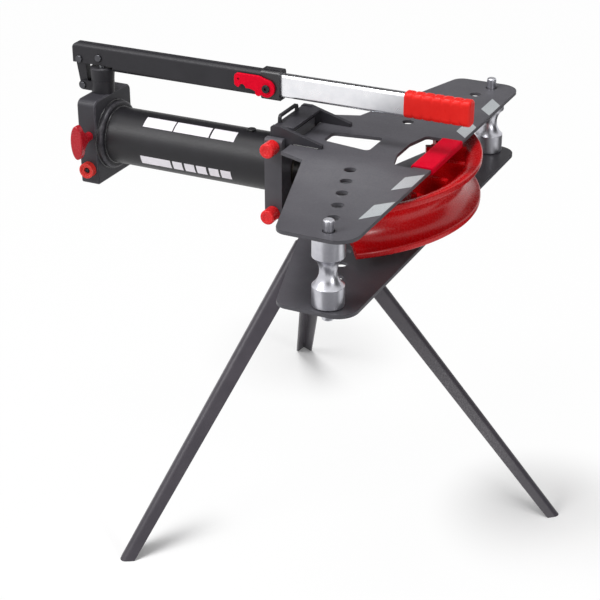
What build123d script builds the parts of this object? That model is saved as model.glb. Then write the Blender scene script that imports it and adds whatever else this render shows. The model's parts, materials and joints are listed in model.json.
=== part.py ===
from build123d import *
import math
import os

os.makedirs("parts", exist_ok=True)

# Lengths in millimetres. X runs along the ram towards the bending former, Y across the wings
# and Z up. The origin is on the floor, under the middle of the overall outline. The tripod stands
# turned a little, so the pieces are drawn about the middle plane Y = 0 and moved into place last.

# Placement and fits
BASE_X = 36.54           # reference line of the wings ahead of the origin
BASE_Y = 11.67           # middle plane of the machine beside the origin
AXIS_H = 583.0           # ram axis above the floor
SLIDE_FIT = 0.15         # radial room of a turning or sliding fit
SEAT_FIT = 0.05          # radial room of a fixed seat
FACE_GAP = 0.3           # room between faces of pieces that move past each other

# Upper and lower wing plate
PLATE_T = 6.0
PLATE_GAP = 114.0        # clear height between the two plates
WING_HALF = 381.0        # tip to middle
WING_FRONT = 200.0       # front edge ahead of the reference line
WING_BACK = 50.0         # rear edge behind the reference line
NECK_HALF = 98.0
SHOULDER_BACK = 3.0
SHOULDER_HALF = 116.0
TIP_BACK = 79.0          # rear corner of the tip ahead of the reference line
TIP_FRONT_R = 35.0
TIP_BACK_R = 22.0
ROLLER_HOLE_D = 19.6
ROLLER_HOLES = 6
HOLE_FIRST_X = 84.0
HOLE_FIRST_Y = 121.5
HOLE_STEP_X = 13.7
HOLE_LAST_IN = 29.5      # last hole in from the tip
WINDOW_BACK = 10.0       # window in the middle of the upper wing
WINDOW_LEN = 87.0
WINDOW_BACK_HALF = 20.0
WINDOW_FRONT_HALF = 33.0
WINDOW_R = 8.0
HAND_SLOT_BACK = 126.0   # hand slot behind the lifting strap
HAND_SLOT_BACK_HALF = 27.0
HAND_SLOT_HALF = 72.0
HAND_SLOT_SKEW = 12.0
HAND_SLOT_R = 8.0
STRAP_W = 31.0
SLEEVE_WALL = 3.0
SLEEVE_LEN = 136.0

# Cylinder head and hinge pins
HEAD_SETBACK = 60.0      # front face behind the reference line
HEAD_T = 32.0
HEAD_W = 150.0
HEAD_H = 144.0
HEAD_R = 6.0
PIN_D = 12.0
PIN_RISE = 59.0          # pins above and below the ram axis
PIN_TAIL = 7.0           # far end past the head
CAP_D = 25.5
CAP_L = 25.0
CAP_SEAT = 14.0
EAR_R = 11.0
SLOT_ROOM = 1.0          # room beside a hinge ear in its slot

# Hinge bracket on the upper wing
CHEEK_T = 8.0
CHEEK_IN = 54.0
CHEEK_TOP_H = 90.0        # top edge above the ram axis
CHEEK_FLAT = 19.0
CHEEK_FRONT = 6.0
CHEEK_TOE = 6.0
COVER_T = 5.0
COVER_LEN = 36.0
COVER_DROP = 1.0         # cover below the top edge of the cheeks
BAIL_T = 7.5
BAIL_SPAN = 64.0
BAIL_RISE = 11.0
BAIL_R = 4.0
BAIL_SHIFT = 7.0         # towards the near side

# Hinge ears under the lower wing
LOW_EAR_T = 8.0
LOW_EAR_IN = 54.0
LOW_EAR_REACH = 58.0
LOW_EAR_DEPTH = 18.0

# Hydraulic cylinder and ram
TUBE_OD = 100.0
TUBE_WALL = 8.0
TUBE_LEN = 338.0         # visible length between head and pump block
TUBE_HEAD_SEAT = 12.0
TUBE_BLOCK_SEAT = 5.0
COLLAR_WALL = 11.0
COLLAR_T = 11.0
RAM_D = 50.0
GLAND_OD = 70.0
GLAND_LIP_OD = 82.0
GLAND_LIP_T = 3.0
RAM_REACH = 78.0         # ram shoulder ahead of the reference line
NOSE_D = 36.0
NOSE_L = 34.0
PISTON_T = 30.0
PISTON_BACK = 298.0      # piston rear face behind the reference line
SPIGOT_D = 30.0
SPIGOT_L = 20.0
SEAL_W = 7.0
SEAL_DEPTH = 5.0
FILLER_BACK = 154.0
FILLER_D = 16.0
FILLER_RISE = 3.0

# Bending former for a pipe of 60.3
PIPE_D = 60.3
PIPE_ROOM = 0.6
FORMER_R = 284.0         # outer edge of the lips
FORMER_BACK = 38.0       # centre of the bend behind the reference line
FORMER_HALF_ANGLE = 51.0
FORMER_WALL = 11.0       # wall behind the groove
GROOVE_OUT = 2.0         # pipe centre outside the lips
FORMER_WEB_T = 14.0
FORMER_BACK_HALF = 50.0
FORMER_EDGE_BACK = 130.0
RIB_T = 12.0
RIB_H = 78.0
RIB_ANGLES = (-27.0, -9.0, 9.0, 27.0)
RIB_START = 190.0
END_RIB_ANGLE = 48.5
END_RIB_START = 230.0    # keeps the web clear of the second roller hole
HUB_D = 58.0
HUB_L = 76.0
LIP_R = 3.0

# Rollers on their own journals
ROLLER_D = 50.0
ROLLER_NECK_D = 27.2
ROLLER_EDGE = 2.0
JOURNAL_D = 19.0
TOP_JOURNAL_D = 18.6
JOURNAL_TAIL = 18.0
KNOB_NECK_D = 13.0
KNOB_HEAD_D = 16.6
KNOB_SINK = 1.5          # neck starts below the top of the upper wing
KNOB_NECK_TOP = 13.0
KNOB_TOP = 18.5
KNOB_EDGE = 1.6

# Pump block
BLOCK_T = 37.0
BLOCK_W = 120.0
BLOCK_H = 155.0
BLOCK_LOW = 78.0         # underside below the ram axis
BLOCK_TOP_R = 12.0
BLOCK_FOOT_R = 4.0
BARREL_D = 41.0
BARREL_H = 22.0
NUT_D = 43.0
NUT_H = 24.0
NUT_CONE_H = 13.0
NUT_EDGE = 2.0
PUMP_ROD_D = 14.0
PUMP_BORE_DEPTH = 78.0
ROD_TAIL_ROOM = 8.0

# Release valve and pressure plug on the near side of the block
VALVE_RISE = 13.0
VALVE_AHEAD = 4.0
STEM_D = 12.0
STEM_IN = 24.0
KNOB_BOSS_D = 15.5
KNOB_TAPER_D = 19.0
KNOB_BOSS_L = 28.0
KNOB_WING_T = 15.0
KNOB_WING_H = 62.0
KNOB_WING_W = 24.0
KNOB_WING_R = 3.0
PLUG_DROP = 50.0
PLUG_D = 28.0
PLUG_H = 12.0
PLUG_SOCKET = 14.0
PLUG_SOCKET_DEPTH = 7.0

# Pump lever
FORK_BACK = 34.0         # fork pin behind the pump axis
LINK_BACK = 40.0         # upper link pin behind the pump axis
LINK_RISE = 46.5         # upper link pin above the fork pin
LINK_R = 9.5
LEVER_OVER = 6.5         # lever centre line above the upper link pin
LUG_RISE = 10.0
LUG_R = 8.0
LUG_T = 5.0
LUG_IN = 8.5
LINK_T = 15.0
LEVER_PIN_D = 8.0
RIVET_D = 13.0
RIVET_T = 3.0
EYE_R = 13.0
EYE_HOLE_R = 7.0
EYE_T = 12.0
LEVER_H = 45.0
LEVER_W = 22.0
LEVER_WALL = 2.2
LEVER_R = 8.0
LEVER_TAIL = 13.0
LEVER_TAIL_R = 10.0
LEVER_LEN = 400.0
LEVER_MOUTH = 81.0       # open and raised underside at the pump
LEVER_MOUTH_RISE = 9.5
BAR_WALL = 2.0
BAR_IN = 86.0            # length inside the lever tube
BAR_OUT = 336.0          # length ahead of the lever tube
LIP_H = 52.0
LIP_W = 28.0
LIP_BACK = 27.0
LIP_FRONT = 7.0
LIP_EDGE_R = 7.0
GRIP_H = 46.5
GRIP_W = 24.0
GRIP_EDGE_R = 7.0
GRIP_LEN = 114.0
GRIP_END = 6.0
GRIP_GROOVES = 6
GRIP_STEP = 16.3
GRIP_GROOVE_W = 1.8
GRIP_GROOVE_DEPTH = 1.0

# Latch on the near side of the lever
LATCH_BACK = 14.5        # pivot behind the mouth of the lever tube
LATCH_DROP = 4.5
LATCH_T = 5.0
LATCH_R = 15.0
LATCH_ARM_TOP = 20.0
LATCH_ARM_LEN = 60.0
LATCH_TIP_DROP = 4.0
LATCH_BUMP_R = 6.0
LATCH_NOTCH_R = 6.0
LATCH_HOLE_R = 2.0
SCREW_SHANK_D = 6.0
SCREW_BODY_D = 8.0
SCREW_HEAD_D = 14.0
SCREW_HEAD_T = 3.0

# Tripod
TRIPOD_BACK = 24.0       # tripod axis behind the reference line
LEG_ANGLES = (3.5, 119.0, -112.0)
LEG_PIVOT_OUT = 28.5
LEG_PIVOT_DROP = 40.0    # below the lower wing
LEG_FOOT_OUT = 442.0
LEG_SIDE = 33.0
LEG_FOOT_SIDE = 22.0
LEG_STEEL_T = 4.0
LEG_CORNER_R = 12.0
LEG_RIDGE = 13.5         # ridge of the angle ahead of the leg axis
LEG_START = 24.0
LEG_OVERRUN = 60.0
TONGUE_T = 15.0
TONGUE_LEN = 120.0
TONGUE_BACK = 9.0
TONGUE_FRONT = 4.0
HEEL_W = 14.0
HEEL_H = 28.0
LEG_EAR_T = 6.0
LEG_EAR_ROOM = 1.0
LEG_EAR_R = 17.0
LEG_BOLT_D = 12.0
LEG_BOLT_AF = 19.0
LEG_BOLT_HEAD = 7.0

# Levels and stations that follow from the sizes
lower_top = AXIS_H - PLATE_GAP / 2
lower_bottom = lower_top - PLATE_T
upper_bottom = AXIS_H + PLATE_GAP / 2
upper_top = upper_bottom + PLATE_T
head_front = BASE_X - HEAD_SETBACK
head_back = head_front - HEAD_T
block_front = head_back - TUBE_LEN
block_back = block_front - BLOCK_T
block_top = AXIS_H - BLOCK_LOW + BLOCK_H
block_near = BLOCK_W / 2
pin_x = (head_front + head_back) / 2
upper_pin_z = AXIS_H + PIN_RISE
lower_pin_z = AXIS_H - PIN_RISE
pump_x = (block_front + block_back) / 2
barrel_top = block_top + BARREL_H
nut_top = barrel_top + NUT_H
fork_x = pump_x - FORK_BACK
link_x = pump_x - LINK_BACK
lug_z = block_top + LUG_RISE
link_z = lug_z + LINK_RISE
lever_z = link_z + LEVER_OVER
lever_back = link_x - LEVER_TAIL
lever_front = lever_back + LEVER_LEN
tube_bore_r = TUBE_OD / 2 - TUBE_WALL
last_hole_x = BASE_X + HOLE_FIRST_X + (ROLLER_HOLES - 1) * HOLE_STEP_X
last_hole_y = WING_HALF - HOLE_LAST_IN
hole_step_y = (last_hole_y - HOLE_FIRST_Y) / (ROLLER_HOLES - 1)
former_x = BASE_X - FORMER_BACK
tripod_x = BASE_X - TRIPOD_BACK
tripod_axis = Axis((tripod_x, 0, 0), (0, 0, 1))
to_frame = Location((0, BASE_Y, 0))


def wing_blank(level):
    """Plate with the swept outline and both rows of roller holes, its underside at the level."""
    half = [
        (BASE_X - WING_BACK, NECK_HALF),
        (BASE_X - SHOULDER_BACK, SHOULDER_HALF),
        (BASE_X + TIP_BACK, WING_HALF),
        (BASE_X + WING_FRONT, WING_HALF),
    ]
    near = [(x, -y) for x, y in half]
    holes = []
    for step in range(ROLLER_HOLES):
        hole_x = BASE_X + HOLE_FIRST_X + step * HOLE_STEP_X
        hole_y = HOLE_FIRST_Y + step * hole_step_y
        holes += [(hole_x, hole_y), (hole_x, -hole_y)]
    with BuildPart() as blank:
        with BuildSketch(Plane.XY.offset(level)) as outline:
            with BuildLine():
                Polyline(*near, *reversed(half), close=True)
            make_face()
            fillet(outline.vertices().group_by(Axis.X)[2], radius=TIP_BACK_R)
            fillet(outline.vertices().group_by(Axis.X)[-1], radius=TIP_FRONT_R)
            with Locations(*holes):
                Circle(ROLLER_HOLE_D / 2, mode=Mode.SUBTRACT)
        extrude(amount=PLATE_T)
    return blank.part


# Upper wing plate with its window, hand slot and lifting strap
slot_front = BASE_X + WING_FRONT - STRAP_W
slot_back = BASE_X + HAND_SLOT_BACK
with BuildPart() as wing_plate:
    add(wing_blank(upper_bottom))
    with BuildSketch(Plane.XY.offset(upper_bottom)) as window:
        with BuildLine():
            Polyline(
                (BASE_X - WINDOW_BACK, -WINDOW_BACK_HALF),
                (BASE_X - WINDOW_BACK + WINDOW_LEN, -WINDOW_FRONT_HALF),
                (BASE_X - WINDOW_BACK + WINDOW_LEN, WINDOW_FRONT_HALF),
                (BASE_X - WINDOW_BACK, WINDOW_BACK_HALF),
                close=True,
            )
        make_face()
        fillet(window.vertices(), radius=WINDOW_R)
    extrude(amount=PLATE_T, mode=Mode.SUBTRACT)
    with BuildSketch(Plane.XY.offset(upper_bottom)) as hand_slot:
        with BuildLine():
            Polyline(
                (slot_back, -HAND_SLOT_BACK_HALF),
                (slot_back + HAND_SLOT_SKEW, -HAND_SLOT_HALF),
                (slot_front, -HAND_SLOT_HALF),
                (slot_front, HAND_SLOT_HALF),
                (slot_back + HAND_SLOT_SKEW, HAND_SLOT_HALF),
                (slot_back, HAND_SLOT_BACK_HALF),
                close=True,
            )
        make_face()
        fillet(hand_slot.vertices().sort_by(Axis.X)[:4], radius=HAND_SLOT_R)
    extrude(amount=PLATE_T, mode=Mode.SUBTRACT)
wing_plate.part.label = "wing_plate"
export_step(wing_plate.part.moved(to_frame), "parts/wing_plate.step")

# Red sleeve around the lifting strap
with BuildPart() as wing_sleeve:
    with BuildSketch(Plane.XZ):
        with Locations((slot_front + STRAP_W / 2, upper_bottom + PLATE_T / 2)):
            RectangleRounded(STRAP_W + 2 * SLEEVE_WALL, PLATE_T + 2 * SLEEVE_WALL, SLEEVE_WALL)
            Rectangle(STRAP_W, PLATE_T, mode=Mode.SUBTRACT)
    extrude(amount=SLEEVE_LEN / 2, both=True)
wing_sleeve.part.label = "wing_sleeve"
export_step(wing_sleeve.part.moved(to_frame), "parts/wing_sleeve.step")

# Lower wing plate
with BuildPart() as lower_plate:
    add(wing_blank(lower_bottom))
lower_plate.part.label = "lower_plate"
export_step(lower_plate.part.moved(to_frame), "parts/lower_plate.step")

# Hinge cheeks standing on the upper wing
cheek_top = AXIS_H + CHEEK_TOP_H
with BuildPart() as wing_cheeks:
    with BuildSketch(Plane.XZ.offset(CHEEK_IN)):
        with BuildLine():
            Polyline(
                (pin_x - EAR_R, upper_pin_z),
                (pin_x - EAR_R, cheek_top),
                (pin_x - EAR_R + CHEEK_FLAT, cheek_top),
                (BASE_X + CHEEK_FRONT, upper_top + CHEEK_TOE),
                (BASE_X + CHEEK_FRONT, upper_top),
                (BASE_X - WING_BACK, upper_top),
                (pin_x, upper_pin_z - EAR_R),
                close=True,
            )
        make_face()
        with Locations((pin_x, upper_pin_z)):
            Circle(EAR_R)
            Circle(PIN_D / 2 + SLIDE_FIT, mode=Mode.SUBTRACT)
    extrude(amount=CHEEK_T)
    rear_tops = wing_cheeks.edges().filter_by(Axis.Y).group_by(Axis.Z)[-1]
    fillet(rear_tops, radius=CHEEK_T / 2)
    mirror(about=Plane.XZ)
wing_cheeks.part.label = "wing_cheeks"
export_step(wing_cheeks.part.moved(to_frame), "parts/wing_cheeks.step")

# Cover sheet between the cheeks
cover_top = cheek_top - COVER_DROP
cover_back = pin_x - EAR_R + COVER_T / 2
with BuildPart() as wing_cover:
    with BuildSketch(Plane.XY.offset(cover_top - COVER_T)):
        with Locations((cover_back + COVER_LEN / 2, 0)):
            Rectangle(COVER_LEN, 2 * CHEEK_IN)
    extrude(amount=COVER_T)
wing_cover.part.label = "wing_cover"
export_step(wing_cover.part.moved(to_frame), "parts/wing_cover.step")

# Carrying bail, bent from square bar and welded on the cover
bail_x = cover_back + BAIL_T / 2
bail_near = -BAIL_SHIFT - BAIL_SPAN / 2
bail_far = -BAIL_SHIFT + BAIL_SPAN / 2
with BuildPart() as wing_bail:
    with BuildLine():
        FilletPolyline(
            (bail_x, bail_near, cover_top),
            (bail_x, bail_near, cover_top + BAIL_RISE),
            (bail_x, bail_far, cover_top + BAIL_RISE),
            (bail_x, bail_far, cover_top),
            radius=BAIL_R,
        )
    with BuildSketch(Plane.XY.offset(cover_top)):
        with Locations((bail_x, bail_near)):
            RectangleRounded(BAIL_T, BAIL_T, BAIL_T / 6)
    sweep()
wing_bail.part.label = "wing_bail"
export_step(wing_bail.part.moved(to_frame), "parts/wing_bail.step")

# Hinge ears welded under the lower wing
with BuildPart() as lower_ears:
    with BuildSketch(Plane.XZ.offset(LOW_EAR_IN)):
        with BuildLine():
            Polyline(
                (pin_x, lower_pin_z - EAR_R),
                (pin_x, lower_pin_z + EAR_R),
                (BASE_X - WING_BACK, lower_bottom),
                (pin_x + LOW_EAR_REACH, lower_bottom),
                (pin_x + LOW_EAR_REACH - LOW_EAR_DEPTH / 2, lower_bottom - LOW_EAR_DEPTH),
                (pin_x + EAR_R, lower_bottom - LOW_EAR_DEPTH),
                close=True,
            )
        make_face()
        with Locations((pin_x, lower_pin_z)):
            Circle(EAR_R)
            Circle(PIN_D / 2 + SLIDE_FIT, mode=Mode.SUBTRACT)
    extrude(amount=LOW_EAR_T)
    mirror(about=Plane.XZ)
lower_ears.part.label = "lower_ears"
export_step(lower_ears.part.moved(to_frame), "parts/lower_ears.step")

# Cylinder head, slotted for the hinge ears
with BuildPart() as cylinder_head:
    with BuildSketch(Plane.YZ.offset(head_back)):
        with Locations((0, AXIS_H)):
            RectangleRounded(HEAD_W, HEAD_H, HEAD_R)
            Circle(GLAND_OD / 2 + SEAT_FIT, mode=Mode.SUBTRACT)
    extrude(amount=HEAD_T)
    with BuildSketch(Plane.YZ.offset(head_back)):
        with Locations((0, AXIS_H)):
            Circle(TUBE_OD / 2 + SEAT_FIT)
    extrude(amount=TUBE_HEAD_SEAT, mode=Mode.SUBTRACT)
    upper_slot_floor = upper_pin_z - EAR_R - SLOT_ROOM
    lower_slot_floor = lower_pin_z + EAR_R + SLOT_ROOM
    upper_slot_h = AXIS_H + HEAD_H / 2 - upper_slot_floor
    lower_slot_h = lower_slot_floor - AXIS_H + HEAD_H / 2
    with BuildSketch(Plane.YZ.offset(head_back)):
        upper_mid = CHEEK_IN + CHEEK_T / 2
        lower_mid = LOW_EAR_IN + LOW_EAR_T / 2
        with Locations((upper_mid, upper_slot_floor), (-upper_mid, upper_slot_floor)):
            Rectangle(CHEEK_T + 2 * SLOT_ROOM, upper_slot_h, align=(Align.CENTER, Align.MIN))
        with Locations((lower_mid, lower_slot_floor), (-lower_mid, lower_slot_floor)):
            Rectangle(LOW_EAR_T + 2 * SLOT_ROOM, lower_slot_h, align=(Align.CENTER, Align.MAX))
    extrude(amount=HEAD_T, mode=Mode.SUBTRACT)
    with Locations((pin_x, 0, upper_pin_z), (pin_x, 0, lower_pin_z)):
        Cylinder(PIN_D / 2 + SLIDE_FIT, HEAD_W, rotation=(90, 0, 0), mode=Mode.SUBTRACT)
cylinder_head.part.label = "cylinder_head"
export_step(cylinder_head.part.moved(to_frame), "parts/cylinder_head.step")

# Hinge pins with their round caps
for pin_name, pin_z in (("upper_pin", upper_pin_z), ("lower_pin", lower_pin_z)):
    pin_near = -HEAD_W / 2 - FACE_GAP - CAP_SEAT
    pin_len = HEAD_W / 2 + PIN_TAIL - pin_near
    with BuildPart() as hinge_pin:
        with Locations((pin_x, pin_near + pin_len / 2, pin_z)):
            Cylinder(PIN_D / 2, pin_len, rotation=(90, 0, 0))
        chamfer(hinge_pin.edges().group_by(Axis.Y)[-1], length=PIN_D / 8)
    hinge_pin.part.label = pin_name
    export_step(hinge_pin.part.moved(to_frame), f"parts/{pin_name}.step")
    with BuildPart() as pin_cap:
        with Locations((pin_x, -HEAD_W / 2 - FACE_GAP - CAP_L / 2, pin_z)):
            Cylinder(CAP_D / 2, CAP_L, rotation=(90, 0, 0))
        fillet(pin_cap.edges().group_by(Axis.Y)[0], radius=CAP_L / 9)
        with Locations((pin_x, -HEAD_W / 2 - FACE_GAP - CAP_SEAT / 2, pin_z)):
            Cylinder(PIN_D / 2 + SEAT_FIT, CAP_SEAT, rotation=(90, 0, 0), mode=Mode.SUBTRACT)
    pin_cap.part.label = pin_name + "_cap"
    export_step(pin_cap.part.moved(to_frame), f"parts/{pin_name}_cap.step")

# Cylinder tube, seated in the head and in the pump block, with the filler hole
with BuildPart() as cylinder_tube:
    with BuildSketch(Plane.YZ.offset(block_front - TUBE_BLOCK_SEAT)):
        with Locations((0, AXIS_H)):
            Circle(TUBE_OD / 2)
            Circle(tube_bore_r, mode=Mode.SUBTRACT)
    extrude(amount=TUBE_BLOCK_SEAT + TUBE_LEN + TUBE_HEAD_SEAT)
    with Locations((BASE_X - FILLER_BACK, 0, AXIS_H + TUBE_OD / 2)):
        Cylinder(FILLER_D / 2 + SEAT_FIT, TUBE_OD / 2, mode=Mode.SUBTRACT)
cylinder_tube.part.label = "cylinder_tube"
export_step(cylinder_tube.part.moved(to_frame), "parts/cylinder_tube.step")

# Filler plug in the top of the tube
with BuildPart() as filler_plug:
    with BuildSketch(Plane.XY.offset(AXIS_H + tube_bore_r + FACE_GAP)):
        with Locations((BASE_X - FILLER_BACK, 0)):
            Circle(FILLER_D / 2)
    extrude(amount=TUBE_WALL + FILLER_RISE)
    chamfer(filler_plug.edges().group_by(Axis.Z)[-1], length=FILLER_RISE / 3)
    with BuildSketch(Plane.XY.offset(AXIS_H + TUBE_OD / 2 + FILLER_RISE)):
        with Locations((BASE_X - FILLER_BACK, 0)):
            RegularPolygon(FILLER_D / 4, 6)
    extrude(amount=-TUBE_WALL / 2, mode=Mode.SUBTRACT)
filler_plug.part.label = "filler_plug"
export_step(filler_plug.part.moved(to_frame), "parts/filler_plug.step")

# Collar around the tube against the pump block
with BuildPart() as tube_collar:
    with BuildSketch(Plane.YZ.offset(block_front)):
        with Locations((0, AXIS_H)):
            Circle(TUBE_OD / 2 + COLLAR_WALL)
            Circle(TUBE_OD / 2 + SEAT_FIT, mode=Mode.SUBTRACT)
    extrude(amount=COLLAR_T)
    outer_rim = tube_collar.edges().group_by(Axis.X)[-1].sort_by(SortBy.LENGTH)[-1]
    chamfer(outer_rim, length=COLLAR_T / 4)
tube_collar.part.label = "tube_collar"
export_step(tube_collar.part.moved(to_frame), "parts/tube_collar.step")

# Gland bush that guides the ram in the head
gland_back = head_back + TUBE_HEAD_SEAT
with BuildPart() as ram_gland:
    with BuildSketch(Plane.YZ.offset(gland_back)):
        with Locations((0, AXIS_H)):
            Circle(GLAND_OD / 2)
    extrude(amount=head_front - gland_back)
    with BuildSketch(Plane.YZ.offset(head_front)):
        with Locations((0, AXIS_H)):
            Circle(GLAND_LIP_OD / 2)
    extrude(amount=GLAND_LIP_T)
    chamfer(ram_gland.edges().group_by(Axis.X)[-1], length=GLAND_LIP_T / 3)
    with Locations((gland_back, 0, AXIS_H)):
        Cylinder(RAM_D / 2 + SLIDE_FIT, 2 * HEAD_T + 2 * GLAND_LIP_T, rotation=(0, 90, 0), mode=Mode.SUBTRACT)
ram_gland.part.label = "ram_gland"
export_step(ram_gland.part.moved(to_frame), "parts/ram_gland.step")

# Ram with its nose for the former and a spigot for the piston
piston_back = BASE_X - PISTON_BACK
piston_front = piston_back + PISTON_T
ram_shoulder = BASE_X + RAM_REACH
with BuildPart() as ram:
    with BuildSketch(Plane.YZ.offset(piston_front)):
        with Locations((0, AXIS_H)):
            Circle(RAM_D / 2)
    extrude(amount=ram_shoulder - piston_front)
    with BuildSketch(Plane.YZ.offset(ram_shoulder)):
        with Locations((0, AXIS_H)):
            Circle(NOSE_D / 2)
    extrude(amount=NOSE_L)
    chamfer(ram.edges().group_by(Axis.X)[-1], length=NOSE_D / 18)
    with BuildSketch(Plane.YZ.offset(piston_front - SPIGOT_L)):
        with Locations((0, AXIS_H)):
            Circle(SPIGOT_D / 2)
    extrude(amount=SPIGOT_L)
ram.part.label = "ram"
export_step(ram.part.moved(to_frame), "parts/ram.step")

# Piston on the tail of the ram, with a groove for its seal
seal_mid = (piston_back + piston_front) / 2
with BuildPart() as ram_piston:
    with BuildSketch(Plane.YZ.offset(piston_back)):
        with Locations((0, AXIS_H)):
            Circle(tube_bore_r - FACE_GAP)
    extrude(amount=PISTON_T)
    with BuildSketch(Plane.YZ.offset(piston_front)):
        with Locations((0, AXIS_H)):
            Circle(SPIGOT_D / 2 + SEAT_FIT)
    extrude(amount=-SPIGOT_L - SEAT_FIT, mode=Mode.SUBTRACT)
    with BuildSketch(Plane.YZ.offset(seal_mid - SEAL_W / 2)):
        with Locations((0, AXIS_H)):
            Circle(tube_bore_r)
            Circle(tube_bore_r - SEAL_DEPTH, mode=Mode.SUBTRACT)
    extrude(amount=SEAL_W, mode=Mode.SUBTRACT)
ram_piston.part.label = "ram_piston"
export_step(ram_piston.part.moved(to_frame), "parts/ram_piston.step")

with BuildPart() as piston_seal:
    with BuildSketch(Plane.YZ.offset(seal_mid - SEAL_W / 2 + SEAT_FIT)):
        with Locations((0, AXIS_H)):
            Circle(tube_bore_r - SLIDE_FIT)
            Circle(tube_bore_r - SEAL_DEPTH + SEAT_FIT, mode=Mode.SUBTRACT)
    extrude(amount=SEAL_W - 2 * SEAT_FIT)
piston_seal.part.label = "piston_seal"
export_step(piston_seal.part.moved(to_frame), "parts/piston_seal.step")

# Bending former: grooved rim, web, ribs and a hub for the ram nose
start_dir = Vector(1, 0, 0).rotate(Axis.Z, -FORMER_HALF_ANGLE)
start_normal = start_dir.cross(Vector(0, 0, 1))
groove_r = PIPE_D / 2 + PIPE_ROOM
rim_in = FORMER_R + GROOVE_OUT - groove_r - FORMER_WALL
bend_axis = Axis((former_x, 0, 0), (0, 0, 1))
end_plane = Plane((former_x, 0, AXIS_H), x_dir=start_dir, z_dir=start_normal)
hub_back = ram_shoulder + FACE_GAP
edge_x = FORMER_R * math.cos(math.radians(FORMER_HALF_ANGLE))
edge_y = FORMER_R * math.sin(math.radians(FORMER_HALF_ANGLE))
web_x = END_RIB_START * math.cos(math.radians(FORMER_HALF_ANGLE))
web_y = END_RIB_START * math.sin(math.radians(FORMER_HALF_ANGLE))
ribs = [(angle, RIB_START) for angle in RIB_ANGLES]
ribs += [(side * END_RIB_ANGLE, END_RIB_START) for side in (-1, 1)]
with BuildPart() as former:
    with BuildSketch(end_plane):
        with Locations((FORMER_R + GROOVE_OUT, 0)):
            Circle(groove_r + FORMER_WALL)
        Rectangle(FORMER_R, 2 * PIPE_D, align=(Align.MIN, Align.CENTER), mode=Mode.INTERSECT)
    revolve(axis=bend_axis, revolution_arc=2 * FORMER_HALF_ANGLE)
    with BuildSketch(Plane.XY.offset(AXIS_H - FORMER_WEB_T / 2)):
        with BuildLine():
            Polyline(
                (BASE_X + FORMER_EDGE_BACK, -FORMER_BACK_HALF),
                (former_x + web_x, -web_y),
                (former_x + edge_x, -edge_y),
                (former_x + FORMER_R, -edge_y),
                (former_x + FORMER_R, edge_y),
                (former_x + edge_x, edge_y),
                (former_x + web_x, web_y),
                (BASE_X + FORMER_EDGE_BACK, FORMER_BACK_HALF),
                close=True,
            )
        make_face()
        with Locations((former_x, 0)):
            Circle(rim_in + LIP_R, mode=Mode.INTERSECT)
    extrude(amount=FORMER_WEB_T)
    for angle, start in ribs:
        rib_len = rim_in + FORMER_WALL + LIP_R - start
        rib_dir = Vector(1, 0, 0).rotate(Axis.Z, angle)
        rib_mid = Vector(former_x, 0, AXIS_H) + rib_dir * (start + rib_len / 2)
        with Locations(Location(rib_mid, (0, 0, angle))):
            Box(rib_len, RIB_T, RIB_H)
    with BuildSketch(end_plane):
        with Locations((FORMER_R + GROOVE_OUT, 0)):
            Circle(groove_r)
    revolve(axis=bend_axis, revolution_arc=2 * FORMER_HALF_ANGLE, mode=Mode.SUBTRACT)
    lip_edges = former.edges().filter_by(GeomType.CIRCLE).group_by(SortBy.RADIUS)[-1]
    fillet(lip_edges, radius=LIP_R)
    with Locations((hub_back + HUB_L / 2, 0, AXIS_H)):
        Cylinder(HUB_D / 2, HUB_L, rotation=(0, 90, 0))
    bore_len = NOSE_L + FACE_GAP
    with Locations((hub_back + bore_len / 2, 0, AXIS_H)):
        Cylinder(NOSE_D / 2 + SLIDE_FIT, bore_len, rotation=(0, 90, 0), mode=Mode.SUBTRACT)
former.part.label = "former"
export_step(former.part.moved(to_frame), "parts/former.step")

# Rollers, each turned in one piece with its journals and the finger knob on top
groove_depth = (ROLLER_D - ROLLER_NECK_D) / 2
groove_half = math.sqrt(groove_r**2 - (groove_r - groove_depth) ** 2)
roller_low = lower_top + FACE_GAP
roller_high = upper_bottom - FACE_GAP
for roller_name, side in (("roller_near", -1), ("roller_far", 1)):
    with BuildPart() as roller:
        with BuildSketch(Plane.XZ):
            with BuildLine():
                Polyline(
                    (ROLLER_D / 2, AXIS_H + groove_half),
                    (ROLLER_D / 2, roller_high - ROLLER_EDGE),
                    (ROLLER_D / 2 - ROLLER_EDGE, roller_high),
                    (TOP_JOURNAL_D / 2, roller_high),
                    (TOP_JOURNAL_D / 2, upper_top - KNOB_SINK),
                    (KNOB_NECK_D / 2, upper_top - KNOB_SINK),
                    (KNOB_NECK_D / 2, upper_top + KNOB_NECK_TOP),
                    (KNOB_HEAD_D / 2, upper_top + KNOB_NECK_TOP + KNOB_EDGE),
                    (KNOB_HEAD_D / 2, upper_top + KNOB_TOP - KNOB_EDGE),
                    (KNOB_HEAD_D / 2 - KNOB_EDGE, upper_top + KNOB_TOP),
                    (0, upper_top + KNOB_TOP),
                    (0, lower_bottom - JOURNAL_TAIL),
                    (JOURNAL_D / 2 - ROLLER_EDGE, lower_bottom - JOURNAL_TAIL),
                    (JOURNAL_D / 2, lower_bottom - JOURNAL_TAIL + ROLLER_EDGE),
                    (JOURNAL_D / 2, roller_low),
                    (ROLLER_D / 2 - ROLLER_EDGE, roller_low),
                    (ROLLER_D / 2, roller_low + ROLLER_EDGE),
                    (ROLLER_D / 2, AXIS_H - groove_half),
                )
                ThreePointArc(
                    (ROLLER_D / 2, AXIS_H - groove_half),
                    (ROLLER_NECK_D / 2, AXIS_H),
                    (ROLLER_D / 2, AXIS_H + groove_half),
                )
            make_face()
        revolve(axis=Axis.Z)
    roller_part = roller.part.moved(Location((last_hole_x, BASE_Y + side * last_hole_y, 0)))
    roller_part.label = roller_name
    export_step(roller_part, f"parts/{roller_name}.step")

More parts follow.
